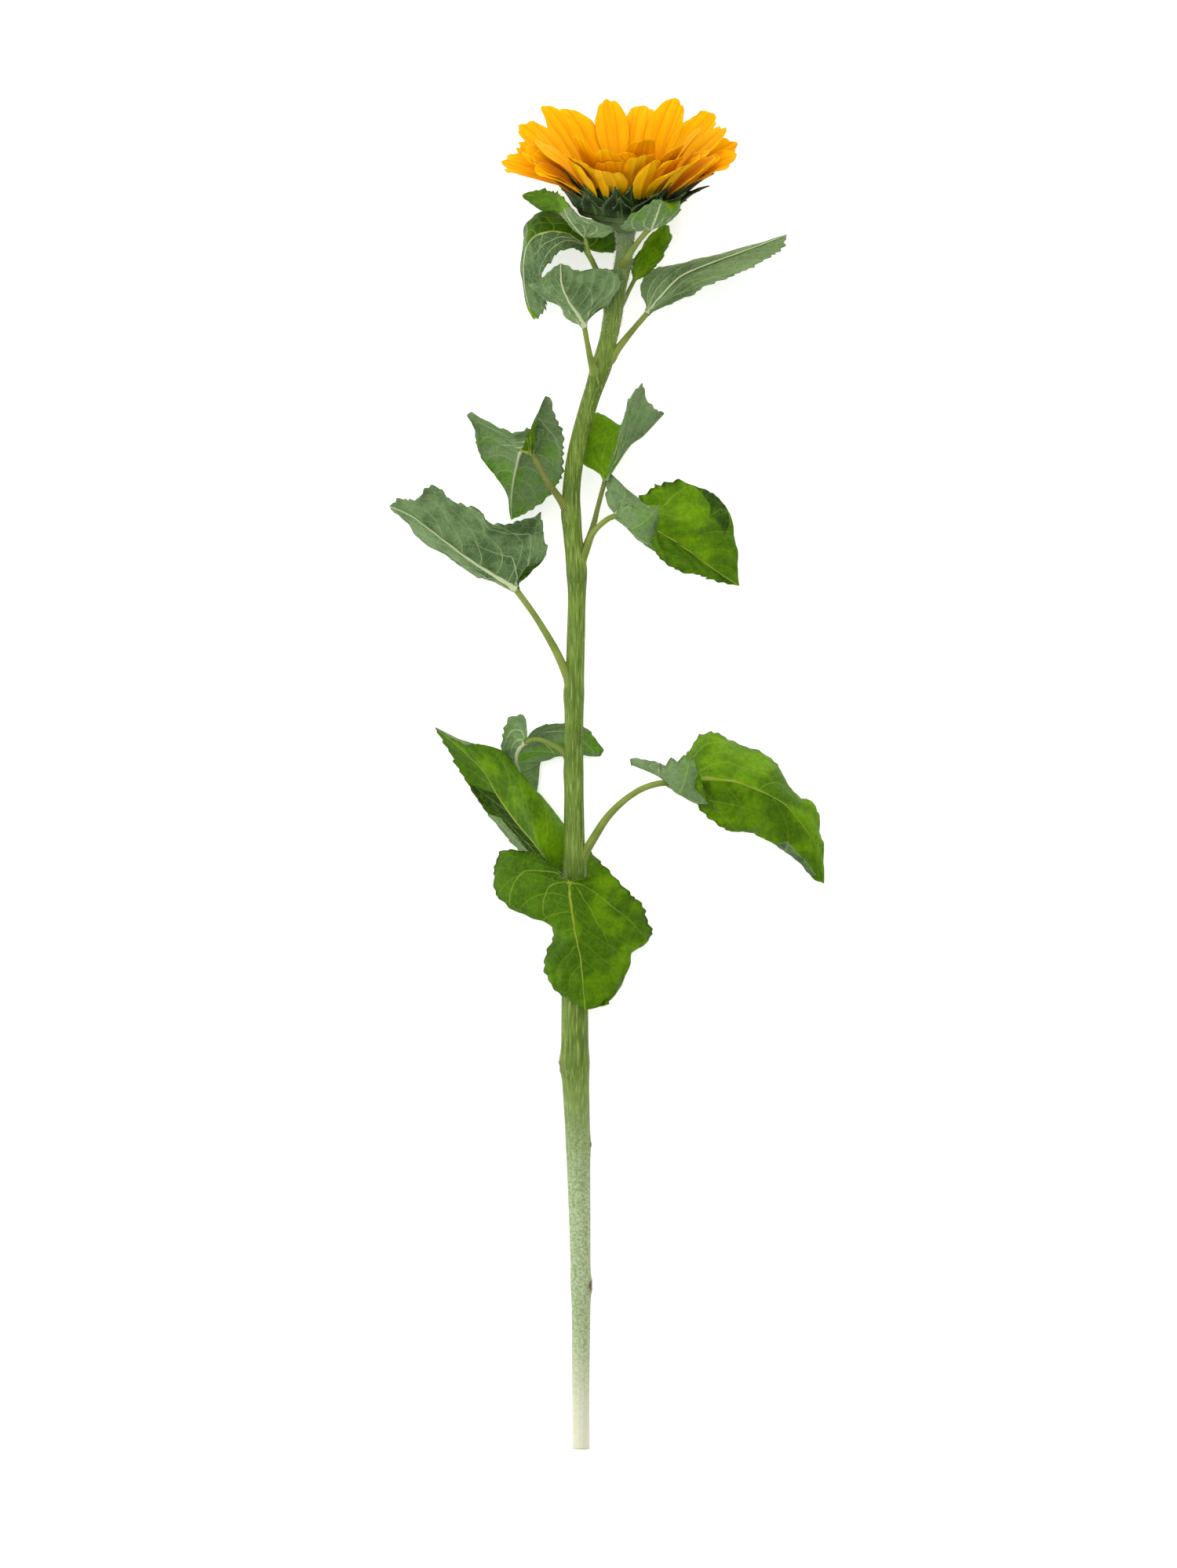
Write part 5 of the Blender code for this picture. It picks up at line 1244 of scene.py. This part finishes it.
stalks = []
for number, (leaf_name, leaf) in enumerate(LEAVES.items()):
    sheet, veins, place = blade_sheet(leaf, 40 * number)
    rows, columns = sheet.shape[:2]
    taper = np.ones((rows, columns))
    taper[:, [0, -1]] = 0.0
    taper[-1] = 0.0
    along = place[:, :1, 0]
    rib = leaf["petiole_radius"][1] * 1.5 * (1.0 - along) ** 0.8
    thickness = (LEAF_THICKNESS + rib * np.exp(-(veins[:, :, 0] / np.maximum(rib, 0.3)) ** 2)) * taper
    thickness += 0.5 * rib * np.exp(-(veins[:, :, 1] / np.maximum(0.6 * rib, 0.3)) ** 2) * taper
    blade = two_sided(sheet, thickness)
    blade[-1] = sheet[-1, columns // 2]
    half = columns // 2
    facing = np.cross(sheet[3, half + 2] - sheet[3, half - 2], sheet[5, half] - sheet[1, half])
    stalk, stalk_place = stalk_rings(leaf, unit(facing), blade.shape[1])
    # The stalk's end inside the stem shuts on its middle.
    foot = np.repeat(stalk[:1].mean(axis=1, keepdims=True), blade.shape[1], axis=1)
    rings = np.concatenate([foot, stalk, blade])
    rings[:, :, 2] = np.maximum(rings[:, :, 2], TABLE_GAP)
    rings[:, :, 0] = np.clip(rings[:, :, 0], cad_low.x / MM, cad_high.x / MM)
    stalks.append(stalk)
    # A stalk is far from any vein of the blade.
    far = np.full(stalk.shape, 30.0)
    fields = {
        "veins": np.concatenate([far[:1], far, both_faces(veins)]),
        "place": np.concatenate([stalk_place[:1], stalk_place, both_faces(place)]),
    }
    faces = np.full((len(rings) - 1, blade.shape[1]), 2)
    faces[len(stalk) + 1:, :columns - 1] = 0
    faces[len(stalk) + 1:, columns - 1:] = 1
    for side, start, stop, out, finish, _ in leaf.get("patches", []):
        x = np.linspace(-1.0, 1.0, columns)[:-1] + 1.0 / (columns - 1)
        outward = (-x if side == "left" else x)[None, :] > out
        within = ((along > start) & (along < stop) & outward)[1:]
        faces[len(stalk) + 1:, :columns - 1][within] = finish
        faces[len(stalk) + 1:, columns - 1:][within[:, ::-1]] = finish
    made = rolled_skin(leaf_name + "_blade", rings, fields, faces)
    for finish in (leaf_face, leaf_back, stalk_skin):
        made.data.materials.append(finish)
    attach(made, "root")
    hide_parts(leaf_name)

# ---- Down ------------------------------------------------------------------------------------------
# The whole plant is covered in short white hairs, thickest on the neck under the head, on the leaf
# stalks and along the edges of the bracts. A hair is one fine spike, set out along the skins above.
NECK_LENGTH = 62.0
HAIR_LOW = 0.5
NECK_HAIRS = 2600
STEM_HAIRS = 2200
STALK_HAIRS = 70
EDGE_HAIRS = 26
HAIR_GIRTH = 0.085


def white_down():
    """Glassy white hairs, a little yellower in places."""
    made, tree = own_material("white_down")
    slow, speckle = growth_on(tree, own_space(tree), 300.0, 2400.0)
    skin = blend_colours(tree, speckle, colour(206, 214, 186), colour(240, 242, 230))
    surface(tree, skin, spread(tree, slow, 0.0, 1.0, 0.4, 0.6))
    return made


down = white_down()


def jitter(reach):
    return np.array([draw.uniform(-reach, reach) for _ in range(3)])


def hairs(name, spots):
    """One piece of spikes: spots are (place, away, length) in mm."""
    bpy.ops.object.select_all(action="DESELECT")
    bpy.ops.mesh.primitive_cone_add(
        vertices=3, radius1=HAIR_GIRTH, radius2=0.0, depth=1.0, location=(0.0, 0.0, 0.4)
    )
    spike = bpy.context.object
    bpy.ops.object.transform_apply(location=True, rotation=True, scale=True)
    piece = planted(name, spike, [
        matrix_at(foot, away, 0.0, (1.0, 1.0, length)) for foot, away, length in spots
        if foot[2] > HAIR_LOW and foot[2] + away[2] * length > HAIR_LOW
    ])
    piece.data.materials.append(down)
    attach(piece, "root")


draw = random.Random(5)
spots = []
skin_rows = stem_rings[cut_rows:-1]
for k in range(NECK_HAIRS + STEM_HAIRS):
    if k < NECK_HAIRS:
        height = NECK_TOP - NECK_LENGTH * draw.random() ** 1.6
    else:
        height = draw.uniform(-330.0, 262.0)
    i = int(np.argmin(np.abs(stem_heights - height)))
    j = draw.randrange(STEM_AROUND)
    away = unit(skin_rows[i, j] - stem_centres[i]) - ahead[i] * draw.uniform(-0.1, 0.5)
    away = away + jitter(0.3)
    length = draw.uniform(0.8, 2.4) if k < NECK_HAIRS else draw.uniform(0.4, 1.2)
    spots.append((skin_rows[i, j], unit(away), length))
hairs("stem_down", spots)

spots = []
for stalk in stalks:
    middles = stalk.mean(axis=1)
    for k in range(STALK_HAIRS):
        i, j = draw.randrange(2, len(stalk) - 1), draw.randrange(stalk.shape[1])
        share = draw.random()
        place = stalk[i - 1, j] * (1 - share) + stalk[i, j] * share
        away = unit(stalk[i, j] - middles[i]) + jitter(0.3)
        spots.append((place, unit(away), draw.uniform(0.4, 1.1)))
hairs("stalk_down", spots)

spots = []
for edge, outward in bract_edges:
    for k in range(EDGE_HAIRS):
        i = draw.randrange(1, len(edge) - 1)
        share = draw.random()
        place = edge[i] * (1 - share) + edge[i + 1] * share
        away = outward[i] + jitter(0.4)
        spots.append((place, unit(away), draw.uniform(0.5, 1.3)))
hairs("bract_down", spots)
